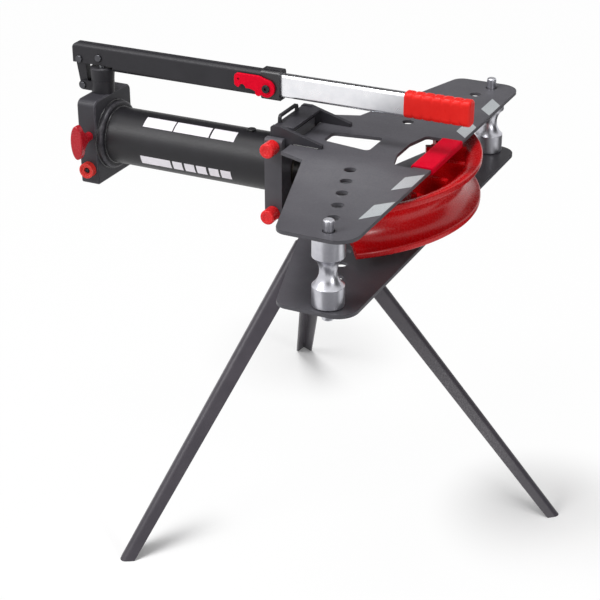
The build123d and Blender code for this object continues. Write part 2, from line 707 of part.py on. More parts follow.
# Pump block behind the tube
valve_x = pump_x + VALVE_AHEAD
valve_z = AXIS_H + VALVE_RISE
plug_z = AXIS_H - PLUG_DROP
with BuildPart() as pump_block:
    with BuildSketch(Plane.YZ.offset(block_back)) as block_face:
        with Locations((0, block_top - BLOCK_H / 2)):
            Rectangle(BLOCK_W, BLOCK_H)
        fillet(block_face.vertices().group_by(Axis.Y)[-1], radius=BLOCK_TOP_R)
        fillet(block_face.vertices().group_by(Axis.Y)[0], radius=BLOCK_FOOT_R)
    extrude(amount=BLOCK_T)
    chamfer(pump_block.edges().group_by(Axis.X)[0], length=BLOCK_FOOT_R / 2)
    chamfer(pump_block.edges().group_by(Axis.X)[-1], length=BLOCK_FOOT_R / 2)
    with BuildSketch(Plane.YZ.offset(block_front)):
        with Locations((0, AXIS_H)):
            Circle(TUBE_OD / 2 + SEAT_FIT)
    extrude(amount=-TUBE_BLOCK_SEAT, mode=Mode.SUBTRACT)
    with Locations((pump_x, 0, block_top - PUMP_BORE_DEPTH / 2)):
        Cylinder(PUMP_ROD_D / 2 + FACE_GAP, PUMP_BORE_DEPTH, mode=Mode.SUBTRACT)
    with Locations((valve_x, -block_near + STEM_IN / 2, valve_z)):
        Cylinder(STEM_D / 2 + SLIDE_FIT, STEM_IN, rotation=(90, 0, 0), mode=Mode.SUBTRACT)
pump_block.part.label = "pump_block"
export_step(pump_block.part.moved(to_frame), "parts/pump_block.step")

# Pump barrel with the fork that carries the lever link
with BuildPart() as pump_barrel:
    with BuildSketch(Plane.XZ.offset(LUG_IN)):
        with Locations((fork_x, lug_z)):
            Circle(LUG_R)
            Rectangle(FORK_BACK - EYE_T, 2 * LUG_R, align=(Align.MIN, Align.CENTER))
            Circle(LEVER_PIN_D / 2 + SEAT_FIT, mode=Mode.SUBTRACT)
    extrude(amount=LUG_T)
    mirror(about=Plane.XZ)
    with BuildSketch(Plane.XY.offset(block_top)):
        with Locations((pump_x, 0)):
            Circle(BARREL_D / 2)
    extrude(amount=BARREL_H)
    with Locations((pump_x, 0, block_top + BARREL_H / 2)):
        Cylinder(PUMP_ROD_D / 2 + SLIDE_FIT, BARREL_H, mode=Mode.SUBTRACT)
pump_barrel.part.label = "pump_barrel"
export_step(pump_barrel.part.moved(to_frame), "parts/pump_barrel.step")

# Gland nut on the barrel
with BuildPart() as gland_nut:
    with BuildSketch(Plane.XZ):
        with BuildLine():
            Polyline(
                (pump_x + PUMP_ROD_D / 2 + SLIDE_FIT, barrel_top),
                (pump_x + BARREL_D / 2, barrel_top),
                (pump_x + NUT_D / 2, barrel_top + NUT_CONE_H),
                (pump_x + NUT_D / 2, nut_top - NUT_EDGE),
                (pump_x + NUT_D / 2 - NUT_EDGE, nut_top),
                (pump_x + PUMP_ROD_D / 2 + SLIDE_FIT, nut_top),
                close=True,
            )
        make_face()
    revolve(axis=Axis((pump_x, 0, 0), (0, 0, 1)))
gland_nut.part.label = "gland_nut"
export_step(gland_nut.part.moved(to_frame), "parts/gland_nut.step")

# Pump rod with the eye that the lever lifts
rod_low = block_top - PUMP_BORE_DEPTH + ROD_TAIL_ROOM
with BuildPart() as pump_rod:
    with BuildSketch(Plane.XY.offset(rod_low)):
        with Locations((pump_x, 0)):
            Circle(PUMP_ROD_D / 2)
    extrude(amount=lever_z - (EYE_R + EYE_HOLE_R) / 2 - rod_low)
    with BuildSketch(Plane.XZ):
        with Locations((pump_x, lever_z)):
            Circle(EYE_R)
    extrude(amount=EYE_T / 2, both=True)
    with Locations((pump_x, 0, lever_z)):
        Cylinder(EYE_HOLE_R, LEVER_W, rotation=(90, 0, 0), mode=Mode.SUBTRACT)
pump_rod.part.label = "pump_rod"
export_step(pump_rod.part.moved(to_frame), "parts/pump_rod.step")

# Link between the fork and the tail of the lever
with BuildPart() as lever_link:
    with BuildSketch(Plane.XZ):
        with Locations((fork_x, lug_z)):
            Circle(LUG_R - FACE_GAP)
        with Locations((link_x, link_z)):
            Circle(LINK_R)
        make_hull()
        with Locations((fork_x, lug_z), (link_x, link_z)):
            Circle(LEVER_PIN_D / 2 + SLIDE_FIT, mode=Mode.SUBTRACT)
    extrude(amount=LINK_T / 2, both=True)
lever_link.part.label = "lever_link"
export_step(lever_link.part.moved(to_frame), "parts/lever_link.step")

# Riveted pins: one in the fork, two in the lever
with BuildPart() as fork_pin:
    with Locations((fork_x, 0, lug_z)):
        Cylinder(LEVER_PIN_D / 2, 2 * (LUG_IN + LUG_T), rotation=(90, 0, 0))
    fork_out = LUG_IN + LUG_T + RIVET_T / 2
    with Locations((fork_x, -fork_out, lug_z), (fork_x, fork_out, lug_z)):
        Cylinder(RIVET_D / 2, RIVET_T, rotation=(90, 0, 0))
    fillet(fork_pin.edges().group_by(Axis.Y)[0], radius=RIVET_T / 2)
    fillet(fork_pin.edges().group_by(Axis.Y)[-1], radius=RIVET_T / 2)
fork_pin.part.label = "fork_pin"
export_step(fork_pin.part.moved(to_frame), "parts/fork_pin.step")

with BuildPart() as lever_pins:
    with Locations((link_x, 0, link_z), (pump_x, 0, lever_z)):
        Cylinder(LEVER_PIN_D / 2, LEVER_W, rotation=(90, 0, 0))
    lever_out = LEVER_W / 2 + RIVET_T / 2
    with Locations(
        (link_x, -lever_out, link_z),
        (link_x, lever_out, link_z),
        (pump_x, -lever_out, lever_z),
        (pump_x, lever_out, lever_z),
    ):
        Cylinder(RIVET_D / 2, RIVET_T, rotation=(90, 0, 0))
    fillet(lever_pins.edges().group_by(Axis.Y)[0], radius=RIVET_T / 2)
    fillet(lever_pins.edges().group_by(Axis.Y)[-1], radius=RIVET_T / 2)
lever_pins.part.label = "lever_pins"
export_step(lever_pins.part.moved(to_frame), "parts/lever_pins.step")

# Lever tube, open underneath at the pump
latch_x = lever_front - LATCH_BACK
latch_z = lever_z - LATCH_DROP
cavity_w = LEVER_W - 2 * LEVER_WALL
cavity_h = LEVER_H - 2 * LEVER_WALL
cavity_r = LEVER_R - LEVER_WALL
bar_w = cavity_w - 2 * FACE_GAP
bar_h = cavity_h - 2 * FACE_GAP
bar_r = cavity_r - FACE_GAP
with BuildPart() as lever_tube:
    with BuildSketch(Plane.YZ.offset(lever_back)):
        with Locations((0, lever_z)):
            RectangleRounded(LEVER_W, LEVER_H, LEVER_R)
            RectangleRounded(cavity_w, cavity_h, cavity_r, mode=Mode.SUBTRACT)
    extrude(amount=LEVER_LEN)
    with BuildSketch(Plane.XZ) as lever_side:
        with Locations((lever_back + LEVER_LEN / 2, lever_z)):
            Rectangle(LEVER_LEN, LEVER_H)
        tail = lever_side.vertices().group_by(Axis.X)[0].sort_by(Axis.Y)[-1]
        fillet(tail, radius=LEVER_TAIL_R)
    extrude(amount=LEVER_W / 2, both=True, mode=Mode.INTERSECT)
    with Locations((lever_back + LEVER_MOUTH / 2, 0, lever_z - LEVER_H / 2)):
        Box(LEVER_MOUTH, LEVER_W, 2 * LEVER_MOUTH_RISE, mode=Mode.SUBTRACT)
    with Locations((link_x, 0, link_z), (pump_x, 0, lever_z)):
        Cylinder(LEVER_PIN_D / 2 + SEAT_FIT, LEVER_W, rotation=(90, 0, 0), mode=Mode.SUBTRACT)
    with Locations((latch_x, -LEVER_W / 2, latch_z)):
        Cylinder(SCREW_SHANK_D / 2 + SEAT_FIT, 2 * LEVER_WALL + LEVER_R, rotation=(90, 0, 0), mode=Mode.SUBTRACT)
lever_tube.part.label = "lever_tube"
export_step(lever_tube.part.moved(to_frame), "parts/lever_tube.step")

# Collar on the mouth of the lever tube
lip_len = LIP_BACK + LIP_FRONT
with BuildPart() as lever_collar:
    with BuildSketch(Plane.YZ.offset(lever_front - LIP_BACK)):
        with Locations((0, lever_z)):
            RectangleRounded(LIP_W, LIP_H, LIP_EDGE_R)
            RectangleRounded(cavity_w, cavity_h, cavity_r, mode=Mode.SUBTRACT)
    extrude(amount=lip_len)
    with BuildSketch(Plane.YZ.offset(lever_front - LIP_BACK)):
        with Locations((0, lever_z)):
            RectangleRounded(LEVER_W + 2 * SEAT_FIT, LEVER_H + 2 * SEAT_FIT, LEVER_R)
    extrude(amount=LIP_BACK, mode=Mode.SUBTRACT)
    with Locations((latch_x, -LIP_W / 2, latch_z)):
        Cylinder(SCREW_SHANK_D / 2 + SEAT_FIT, LIP_W - LEVER_W, rotation=(90, 0, 0), mode=Mode.SUBTRACT)
lever_collar.part.label = "lever_collar"
export_step(lever_collar.part.moved(to_frame), "parts/lever_collar.step")

# Sliding bar and its ribbed grip
with BuildPart() as lever_bar:
    with BuildSketch(Plane.YZ.offset(lever_front - BAR_IN)):
        with Locations((0, lever_z)):
            RectangleRounded(bar_w, bar_h, bar_r)
            RectangleRounded(bar_w - 2 * BAR_WALL, bar_h - 2 * BAR_WALL, bar_r - BAR_WALL, mode=Mode.SUBTRACT)
    extrude(amount=BAR_IN + BAR_OUT)
lever_bar.part.label = "lever_bar"
export_step(lever_bar.part.moved(to_frame), "parts/lever_bar.step")

grip_front = lever_front + BAR_OUT + GRIP_END
grip_back = grip_front - GRIP_LEN
with BuildPart() as lever_grip:
    with BuildSketch(Plane.YZ.offset(grip_back)):
        with Locations((0, lever_z)):
            RectangleRounded(GRIP_W, GRIP_H, GRIP_EDGE_R)
    extrude(amount=GRIP_LEN)
    fillet(lever_grip.edges().group_by(Axis.X)[-1], radius=GRIP_END * 2 / 3)
    fillet(lever_grip.edges().group_by(Axis.X)[0], radius=GRIP_END / 2)
    with BuildSketch(Plane.YZ.offset(grip_back)):
        with Locations((0, lever_z)):
            RectangleRounded(bar_w + 2 * SEAT_FIT, bar_h + 2 * SEAT_FIT, bar_r)
    extrude(amount=GRIP_LEN - GRIP_END, mode=Mode.SUBTRACT)
    groove_planes = []
    for step in range(GRIP_GROOVES):
        groove_x = grip_back + GRIP_LEN / 2 + (step - (GRIP_GROOVES - 1) / 2) * GRIP_STEP
        groove_planes.append(Plane.YZ.offset(groove_x))
    groove_w = GRIP_W - 2 * GRIP_GROOVE_DEPTH
    groove_h = GRIP_H - 2 * GRIP_GROOVE_DEPTH
    with BuildSketch(*groove_planes):
        with Locations((0, lever_z)):
            RectangleRounded(GRIP_W, GRIP_H, GRIP_EDGE_R)
            RectangleRounded(groove_w, groove_h, GRIP_EDGE_R - GRIP_GROOVE_DEPTH, mode=Mode.SUBTRACT)
            Rectangle(GRIP_W, GRIP_H - 2 * GRIP_EDGE_R, mode=Mode.SUBTRACT)
    extrude(amount=GRIP_GROOVE_W / 2, both=True, mode=Mode.SUBTRACT)
lever_grip.part.label = "lever_grip"
export_step(lever_grip.part.moved(to_frame), "parts/lever_grip.step")

# Latch on the near side and the screw it turns on
latch_near = LIP_W / 2 + FACE_GAP
with BuildPart() as lever_latch:
    with BuildSketch(Plane.XZ.offset(latch_near)) as latch_face:
        with BuildLine():
            Polyline(
                (latch_x, latch_z + LATCH_R),
                (latch_x - LATCH_R, latch_z + LATCH_ARM_TOP),
                (latch_x - LATCH_ARM_LEN, latch_z + LATCH_ARM_TOP),
                (latch_x - LATCH_ARM_LEN, latch_z - LATCH_TIP_DROP),
                (latch_x - LATCH_ARM_LEN / 2, latch_z - LATCH_TIP_DROP),
                (latch_x - LATCH_R, latch_z - LATCH_R + LATCH_BUMP_R),
                (latch_x, latch_z - LATCH_R),
                close=True,
            )
        make_face()
        fillet(latch_face.vertices().group_by(Axis.X)[0], radius=LATCH_R / 2)
        with Locations((latch_x, latch_z)):
            Circle(LATCH_R)
        with Locations((latch_x - LATCH_R + FACE_GAP, latch_z - LATCH_R + LATCH_BUMP_R)):
            Circle(LATCH_BUMP_R)
        with Locations((latch_x - LATCH_ARM_LEN + LATCH_R, latch_z - LATCH_TIP_DROP)):
            Circle(LATCH_NOTCH_R, mode=Mode.SUBTRACT)
        with Locations((latch_x - LATCH_ARM_LEN + LATCH_R / 2, latch_z + LATCH_ARM_TOP / 2)):
            Circle(LATCH_HOLE_R, mode=Mode.SUBTRACT)
        with Locations((latch_x, latch_z)):
            Circle(SCREW_BODY_D / 2 + SLIDE_FIT, mode=Mode.SUBTRACT)
    extrude(amount=LATCH_T)
lever_latch.part.label = "lever_latch"
export_step(lever_latch.part.moved(to_frame), "parts/lever_latch.step")

screw_tip = cavity_w / 2 + FACE_GAP
head_near = latch_near + LATCH_T + FACE_GAP
with BuildPart() as latch_screw:
    with BuildSketch(Plane.XZ.offset(screw_tip)):
        with Locations((latch_x, latch_z)):
            Circle(SCREW_SHANK_D / 2)
    extrude(amount=LIP_W / 2 - screw_tip)
    with BuildSketch(Plane.XZ.offset(LIP_W / 2)):
        with Locations((latch_x, latch_z)):
            Circle(SCREW_BODY_D / 2)
    extrude(amount=head_near - LIP_W / 2)
    with BuildSketch(Plane.XZ.offset(head_near)):
        with Locations((latch_x, latch_z)):
            Circle(SCREW_HEAD_D / 2)
    extrude(amount=SCREW_HEAD_T)
    chamfer(latch_screw.edges().group_by(Axis.Y)[0], length=SCREW_HEAD_T / 4)
    with BuildSketch(Plane.XZ.offset(head_near + SCREW_HEAD_T)):
        with Locations((latch_x, latch_z)):
            RegularPolygon(SCREW_SHANK_D / 2, 6)
    extrude(amount=-SCREW_HEAD_T, mode=Mode.SUBTRACT)
latch_screw.part.label = "latch_screw"
export_step(latch_screw.part.moved(to_frame), "parts/latch_screw.step")

# Release valve: stem in the block and a wing knob on it
knob_in = block_near + FACE_GAP
wing_in = knob_in + KNOB_BOSS_L
with BuildPart() as valve_stem:
    with BuildSketch(Plane.XZ.offset(block_near - STEM_IN + FACE_GAP)):
        with Locations((valve_x, valve_z)):
            Circle(STEM_D / 2)
    extrude(amount=STEM_IN + KNOB_BOSS_L)
valve_stem.part.label = "valve_stem"
export_step(valve_stem.part.moved(to_frame), "parts/valve_stem.step")

with BuildPart() as release_knob:
    with BuildSketch(Plane.XZ.offset(knob_in)):
        with Locations((valve_x, valve_z)):
            Circle(KNOB_BOSS_D / 2)
    with BuildSketch(Plane.XZ.offset(wing_in)):
        with Locations((valve_x, valve_z)):
            Circle(KNOB_TAPER_D / 2)
    loft()
    with BuildSketch(Plane.XZ.offset(wing_in)):
        with BuildLine():
            ThreePointArc(
                (valve_x, valve_z + KNOB_WING_H / 2),
                (valve_x + KNOB_WING_W / 2, valve_z),
                (valve_x, valve_z - KNOB_WING_H / 2),
            )
            ThreePointArc(
                (valve_x, valve_z - KNOB_WING_H / 2),
                (valve_x - KNOB_WING_W / 2, valve_z),
                (valve_x, valve_z + KNOB_WING_H / 2),
            )
        make_face()
    extrude(amount=KNOB_WING_T)
    fillet(release_knob.edges().group_by(Axis.Y)[0], radius=KNOB_WING_R)
    with Locations((valve_x, -knob_in - KNOB_BOSS_L / 2, valve_z)):
        Cylinder(STEM_D / 2 + SEAT_FIT, KNOB_BOSS_L + 2 * FACE_GAP, rotation=(90, 0, 0), mode=Mode.SUBTRACT)
release_knob.part.label = "release_knob"
export_step(release_knob.part.moved(to_frame), "parts/release_knob.step")

# Pressure plug with a hexagon socket
with BuildPart() as pressure_plug:
    with BuildSketch(Plane.XZ.offset(block_near)):
        with Locations((pump_x, plug_z)):
            Circle(PLUG_D / 2)
    extrude(amount=PLUG_H)
    chamfer(pressure_plug.edges().group_by(Axis.Y)[0], length=PLUG_H / 6)
    with BuildSketch(Plane.XZ.offset(block_near + PLUG_H)):
        with Locations((pump_x, plug_z)):
            RegularPolygon(PLUG_SOCKET / 2, 6, major_radius=False)
    extrude(amount=-PLUG_SOCKET_DEPTH, mode=Mode.SUBTRACT)
pressure_plug.part.label = "pressure_plug"
export_step(pressure_plug.part.moved(to_frame), "parts/pressure_plug.step")

# Tripod: brackets under the lower wing, angle steel legs with a tongue, and their bolts.
# The heel of each tongue stops against the back of its bracket when the leg is out.
pivot_x = tripod_x + LEG_PIVOT_OUT
pivot_z = lower_bottom - LEG_PIVOT_DROP
lean = math.atan2(LEG_FOOT_OUT - LEG_PIVOT_OUT, pivot_z)
down = Vector(math.sin(lean), 0, -math.cos(lean))
out = Vector(math.cos(lean), 0, math.sin(lean))
pivot = Vector(pivot_x, 0, pivot_z)
leg_ear_in = TONGUE_T / 2 + LEG_EAR_ROOM
tongue_r = LEG_EAR_R - LEG_EAR_T - FACE_GAP
leg_len = pivot_z / math.cos(lean) - LEG_START + LEG_OVERRUN

with BuildPart() as leg_bracket:
    with BuildSketch(Plane.XZ.offset(leg_ear_in)):
        with Locations((pivot_x, pivot_z)):
            Circle(LEG_EAR_R)
            Rectangle(2 * LEG_EAR_R, LEG_PIVOT_DROP, align=(Align.CENTER, Align.MIN))
            Circle(LEG_BOLT_D / 2 + SEAT_FIT, mode=Mode.SUBTRACT)
    extrude(amount=LEG_EAR_T)
    mirror(about=Plane.XZ)
    with Locations((pivot_x - LEG_EAR_R, 0, pivot_z)):
        Box(LEG_EAR_T, 2 * leg_ear_in, LEG_PIVOT_DROP, align=(Align.MIN, Align.CENTER, Align.MIN))
with BuildPart() as tripod_ears:
    for angle in LEG_ANGLES:
        add(leg_bracket.part.rotate(tripod_axis, angle))
tripod_ears.part.label = "tripod_ears"
export_step(tripod_ears.part.moved(to_frame), "parts/tripod_ears.step")

with BuildPart() as leg_bolt:
    bolt_out = leg_ear_in + LEG_EAR_T
    with Locations((pivot_x, 0, pivot_z)):
        Cylinder(LEG_BOLT_D / 2, 2 * bolt_out, rotation=(90, 0, 0))
    with BuildSketch(Plane.XZ.offset(bolt_out)):
        with Locations((pivot_x, pivot_z)):
            RegularPolygon(LEG_BOLT_AF / 2, 6, major_radius=False)
    extrude(amount=LEG_BOLT_HEAD)
    with BuildSketch(Plane.XZ.offset(-bolt_out)):
        with Locations((pivot_x, pivot_z)):
            RegularPolygon(LEG_BOLT_AF / 2, 6, major_radius=False)
    extrude(amount=-LEG_BOLT_HEAD)
with BuildPart() as leg_bolts:
    for angle in LEG_ANGLES:
        add(leg_bolt.part.rotate(tripod_axis, angle))
leg_bolts.part.label = "leg_bolts"
export_step(leg_bolts.part.moved(to_frame), "parts/leg_bolts.step")

ridge = pivot + down * LEG_START + out * LEG_RIDGE
flange_dir = (out * -1 + Vector(0, -1, 0)).normalized()
with BuildPart() as leg:
    for along, side in ((0, LEG_SIDE), (leg_len, LEG_FOOT_SIDE)):
        with BuildSketch(Plane(ridge + down * along, x_dir=flange_dir, z_dir=down)) as angle_steel:
            with BuildLine():
                Polyline(
                    (0, 0),
                    (side, 0),
                    (side, LEG_STEEL_T),
                    (LEG_STEEL_T, LEG_STEEL_T),
                    (LEG_STEEL_T, side),
                    (0, side),
                    close=True,
                )
            make_face()
            fillet(angle_steel.vertices().sort_by_distance((0, 0, 0))[0], radius=LEG_CORNER_R)
    loft()
    split(bisect_by=Plane.XY, keep=Keep.TOP)
    tongue_end = pivot + down * TONGUE_LEN
    tongue_corners = [
        pivot + out * TONGUE_FRONT,
        tongue_end + out * TONGUE_FRONT,
        tongue_end - out * TONGUE_BACK,
        pivot - out * TONGUE_BACK,
    ]
    with BuildSketch(Plane.XZ):
        with BuildLine():
            Polyline(*[(corner.X, corner.Z) for corner in tongue_corners], close=True)
        make_face()
        with Locations((pivot_x, pivot_z)):
            Circle(tongue_r)
        with Locations((pivot_x - tongue_r, pivot_z)):
            Rectangle(HEEL_W, HEEL_H, align=(Align.MIN, Align.MIN))
        with Locations((pivot_x, pivot_z)):
            Circle(LEG_BOLT_D / 2 + SLIDE_FIT, mode=Mode.SUBTRACT)
    extrude(amount=TONGUE_T / 2, both=True)
for leg_name, angle in zip(("leg_front", "leg_far", "leg_near"), LEG_ANGLES):
    leg_part = leg.part.rotate(tripod_axis, angle).moved(to_frame)
    leg_part.label = leg_name
    export_step(leg_part, f"parts/{leg_name}.step")
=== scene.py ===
"""Looks of a hydraulic pipe bender on a tripod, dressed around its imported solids.

Sizes of the classes are in millimetres and degrees, places of the studio in metres.
"""

import json
import logging
import math
from dataclasses import dataclass
from enum import Enum
from typing import Any

import bmesh
import bpy
from mathutils import Matrix, Vector

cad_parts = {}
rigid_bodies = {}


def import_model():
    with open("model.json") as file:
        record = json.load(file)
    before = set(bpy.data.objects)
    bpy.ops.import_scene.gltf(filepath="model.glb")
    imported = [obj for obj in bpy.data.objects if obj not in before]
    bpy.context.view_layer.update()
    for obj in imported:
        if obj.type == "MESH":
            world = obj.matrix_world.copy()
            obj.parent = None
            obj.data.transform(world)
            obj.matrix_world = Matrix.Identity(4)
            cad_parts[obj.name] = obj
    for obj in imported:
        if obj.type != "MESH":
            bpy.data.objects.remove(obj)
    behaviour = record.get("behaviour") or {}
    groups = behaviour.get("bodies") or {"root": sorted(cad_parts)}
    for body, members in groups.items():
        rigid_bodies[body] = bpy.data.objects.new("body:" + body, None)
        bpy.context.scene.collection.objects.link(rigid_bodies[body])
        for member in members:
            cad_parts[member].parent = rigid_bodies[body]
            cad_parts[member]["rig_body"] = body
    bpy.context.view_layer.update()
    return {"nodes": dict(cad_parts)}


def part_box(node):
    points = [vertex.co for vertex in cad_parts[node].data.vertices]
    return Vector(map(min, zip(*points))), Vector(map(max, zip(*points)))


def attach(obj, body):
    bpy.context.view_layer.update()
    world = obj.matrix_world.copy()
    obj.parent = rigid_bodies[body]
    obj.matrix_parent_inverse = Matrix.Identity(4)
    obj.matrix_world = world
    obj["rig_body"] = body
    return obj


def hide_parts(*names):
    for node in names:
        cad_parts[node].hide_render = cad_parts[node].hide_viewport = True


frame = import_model()

MM = 0.001
FULL_TURN = 2 * math.pi
# Points of a CAD mesh that lie closer than this are one point, in metres
MERGE = 2e-6
# Faces of a CAD mesh that meet at less than this are one face, in degrees
FLAT = 0.4
# A face whose normal is this close to an axis counts as square to it
SQUARE = 0.98
LOG = logging.getLogger("pipe_bender")

Socket = bpy.types.NodeSocket
Tree = bpy.types.NodeTree
Piece = bpy.types.Object
Shape = bmesh.types.BMesh
Edges = list[bmesh.types.BMEdge]
Sockets = dict[Any, Any]
Colour = tuple[float, float, float, float]
Point = tuple[float, float, float]
Span = tuple[float, float]


class Along(Enum):
    """Direction that a lathe or a draw bench ran in."""

    X = "X"
    Y = "Y"
    Z = "Z"


def linear(code: str) -> Colour:
    """Turns an sRGB hex colour into a linear one.

    Args:
        code: six hex digits after a hash sign.

    Returns:
        Red, green, blue and alpha for a colour socket.
    """
    parts = [int(code[i:i + 2], 16) / 255 for i in (1, 3, 5)]
    red, green, blue = (c / 12.92 if c <= 0.04045 else ((c + 0.055) / 1.055) ** 2.4 for c in parts)
    return red, green, blue, 1.0


def per_mm(size: float) -> float:
    """Scale that gives a noise or cell texture features of this size in millimetres."""
    return 1 / (size * MM)


def add_node(tree: Tree, kind: str, settings: dict[str, Any] | None = None,
             sockets: Sockets | None = None) -> bpy.types.Node:
    """Adds a node with its settings and links.

    Args:
        tree: the node tree that takes it.
        kind: the node's type name after the word ShaderNode.
        settings: properties of the node.
        sockets: a value or another node's output for each input, by name or place.

    Returns:
        The new node.
    """
    made = tree.nodes.new("ShaderNode" + kind)
    for name, value in (settings or {}).items():
        setattr(made, name, value)
    for key, value in (sockets or {}).items():
        if isinstance(value, Socket):
            tree.links.new(value, made.inputs[key])
        else:
            made.inputs[key].default_value = value
    return made


def bare_material(name: str) -> bpy.types.Material:
    """Makes a material with an empty node tree.

    Args:
        name: the material's name.

    Returns:
        The material.
    """
    made = bpy.data.materials.new(name)
    made.use_nodes = True
    made.node_tree.nodes.clear()
    return made


@dataclass(frozen=True)
class Finish:
    """What a surface is made of, and how it was made."""

    name: str

    def material(self) -> bpy.types.Material:
        """Gives the finish's material.

        Returns:
            The material, made on its first use.
        """
        found = bpy.data.materials.get(self.name)
        if found is None:
            found = bare_material(self.name)
            tree = found.node_tree
            place = add_node(tree, "TexCoord").outputs["Object"]
            shader = add_node(tree, "BsdfPrincipled", sockets=self.look(tree, place))
            add_node(tree, "OutputMaterial", sockets={"Surface": shader.outputs["BSDF"]})
        return found

    def look(self, tree: Tree, place: Socket) -> Sockets:
        """Builds the patterns of the finish and says what each socket of its shader takes."""
        raise NotImplementedError


@dataclass(frozen=True)
class TwoTone(Finish):
    """Finish whose colour drifts in soft patches between two tones."""

    colour: str
    light: str

    def mottle(self, tree: Tree, place: Socket, size: float, detail: float, share: Span) -> Socket:
        """Mixes the two tones.

        Args:
            tree: the material's node tree.
            place: coordinates of the pattern.
            size: size of a patch in millimetres.
            detail: steps of finer patches.
            share: noise levels that give the first and the second tone.

        Returns:
            The mixed colour.
        """
        drift = add_node(tree, "TexNoise", sockets={
            "Vector": place, "Scale": per_mm(size), "Detail": detail, "Roughness": 0.6})
        tone = add_node(tree, "MapRange", sockets={
            "Value": drift.outputs["Fac"], "From Min": share[0], "From Max": share[1]})
        return add_node(tree, "Mix", {"data_type": "RGBA"}, {
            "Factor": tone.outputs["Result"], 6: linear(self.colour), 7: linear(self.light)}).outputs[2]


@dataclass(frozen=True)
class PowderCoat(TwoTone):
    """Polyester powder, sprayed and baked: satin, faintly pebbled, with an edge tone that is partly wear, a
    painted highlight where paler and a painted shade where darker.
    """

    # Tone of the rounded edges: partly wear, a painted highlight where paler than the coat, a painted shade
    # where darker
    edge_tone_scuffs_and_shading: str
    roughness: float = 0.42
    specular: float = 0.3
    pebble: float = 2.6
    relief: float = 0.22
    drift: float = 70.0
    scuff: float = 9.0

    def look(self, tree: Tree, place: Socket) -> Sockets:
        """Builds the coat.

        Args:
            tree: the material's node tree.
            place: coordinates of the patterns.

        Returns:
            What each socket of the shader takes.
        """
        # Slow drifts of the film's tone, about a hand's width apart
        body = self.mottle(tree, place, self.drift, detail=3.0, share=(0.3, 0.72))
        # The real pebbles are under a millimetre and would not show, so they are drawn coarser
        pebbles = add_node(tree, "TexNoise", sockets={
            "Vector": place, "Scale": per_mm(self.pebble), "Detail": 2.0, "Roughness": 0.55})
        # Rounded edges carry their own attribute, broken up by scuffs some millimetres long. The edge tone
        # there is partly wear, a painted highlight where it is paler than the coat and a painted shade where
        # it is darker
        edge = add_node(tree, "Attribute", {"attribute_name": "edge_scuffs_and_shading"})
        scuff = add_node(tree, "TexNoise", sockets={
            "Vector": place, "Scale": per_mm(self.scuff), "Detail": 4.0, "Roughness": 0.7})
        edge_breakup = add_node(tree, "MapRange", sockets={
            "Value": scuff.outputs["Fac"], "From Min": 0.35, "From Max": 0.75})
        mask = add_node(tree, "Math", {"operation": "MULTIPLY"}, {
            0: edge.outputs["Fac"], 1: edge_breakup.outputs["Result"]})
        colour = add_node(tree, "Mix", {"data_type": "RGBA"}, {
            "Factor": mask.outputs["Value"], 6: body, 7: linear(self.edge_tone_scuffs_and_shading)})
        gloss = add_node(tree, "MapRange", sockets={
            "Value": pebbles.outputs["Fac"], "From Min": 0.25, "From Max": 0.75,
            "To Min": self.roughness - 0.06, "To Max": self.roughness + 0.08})
        bump = add_node(tree, "Bump", sockets={
            "Height": pebbles.outputs["Fac"], "Strength": self.relief, "Distance": 0.25 * MM})
        return {"Base Color": colour.outputs[2], "Roughness": gloss.outputs["Result"], "IOR": 1.5,
                "Specular IOR Level": self.specular, "Normal": bump.outputs["Normal"]}


@dataclass(frozen=True)
class CastEnamel(TwoTone):
    """Gloss enamel brushed over a sand casting: wet shine broken into speckles by the sand's skin."""

    # Paler red of the rounded edges, a painted highlight
    edge: str
    roughness: float = 0.24
    specular: float = 0.35
    sand: float = 4.0
    runs: float = 55.0
    swell: float = 26.0

    def look(self, tree: Tree, place: Socket) -> Sockets:
        """Builds the enamel.

        Args:
            tree: the material's node tree.
            place: coordinates of the patterns.

        Returns:
            What each socket of the shader takes.
        """
        body = self.mottle(tree, place, self.runs, detail=4.0, share=(0.32, 0.7))
        # Sand grains are under a millimetre; drawn coarser so that they break the shine
        skin = add_node(tree, "TexNoise", sockets={
            "Vector": place, "Scale": per_mm(self.sand), "Detail": 3.0, "Roughness": 0.6})
        swell = add_node(tree, "TexNoise", sockets={
            "Vector": place, "Scale": per_mm(self.swell), "Detail": 2.0})
        # The rounded edges are painted a paler red, a painted highlight
        edge = add_node(tree, "Attribute", {"attribute_name": "edge_scuffs_and_shading"})
        colour = add_node(tree, "Mix", {"data_type": "RGBA"}, {
            "Factor": edge.outputs["Fac"], 6: body, 7: linear(self.edge)})
        gloss = add_node(tree, "MapRange", sockets={
            "Value": skin.outputs["Fac"], "From Min": 0.3, "From Max": 0.7,
            "To Min": self.roughness - 0.06, "To Max": self.roughness + 0.14})
        waves = add_node(tree, "Bump", sockets={
            "Height": swell.outputs["Fac"], "Strength": 0.35, "Distance": 0.8 * MM})
        bump = add_node(tree, "Bump", sockets={
            "Height": skin.outputs["Fac"], "Strength": 0.15, "Distance": 0.35 * MM,
            "Normal": waves.outputs["Normal"]})
        return {"Base Color": colour.outputs[2], "Roughness": gloss.outputs["Result"], "IOR": 1.52,
                "Specular IOR Level": self.specular, "Normal": bump.outputs["Normal"]}


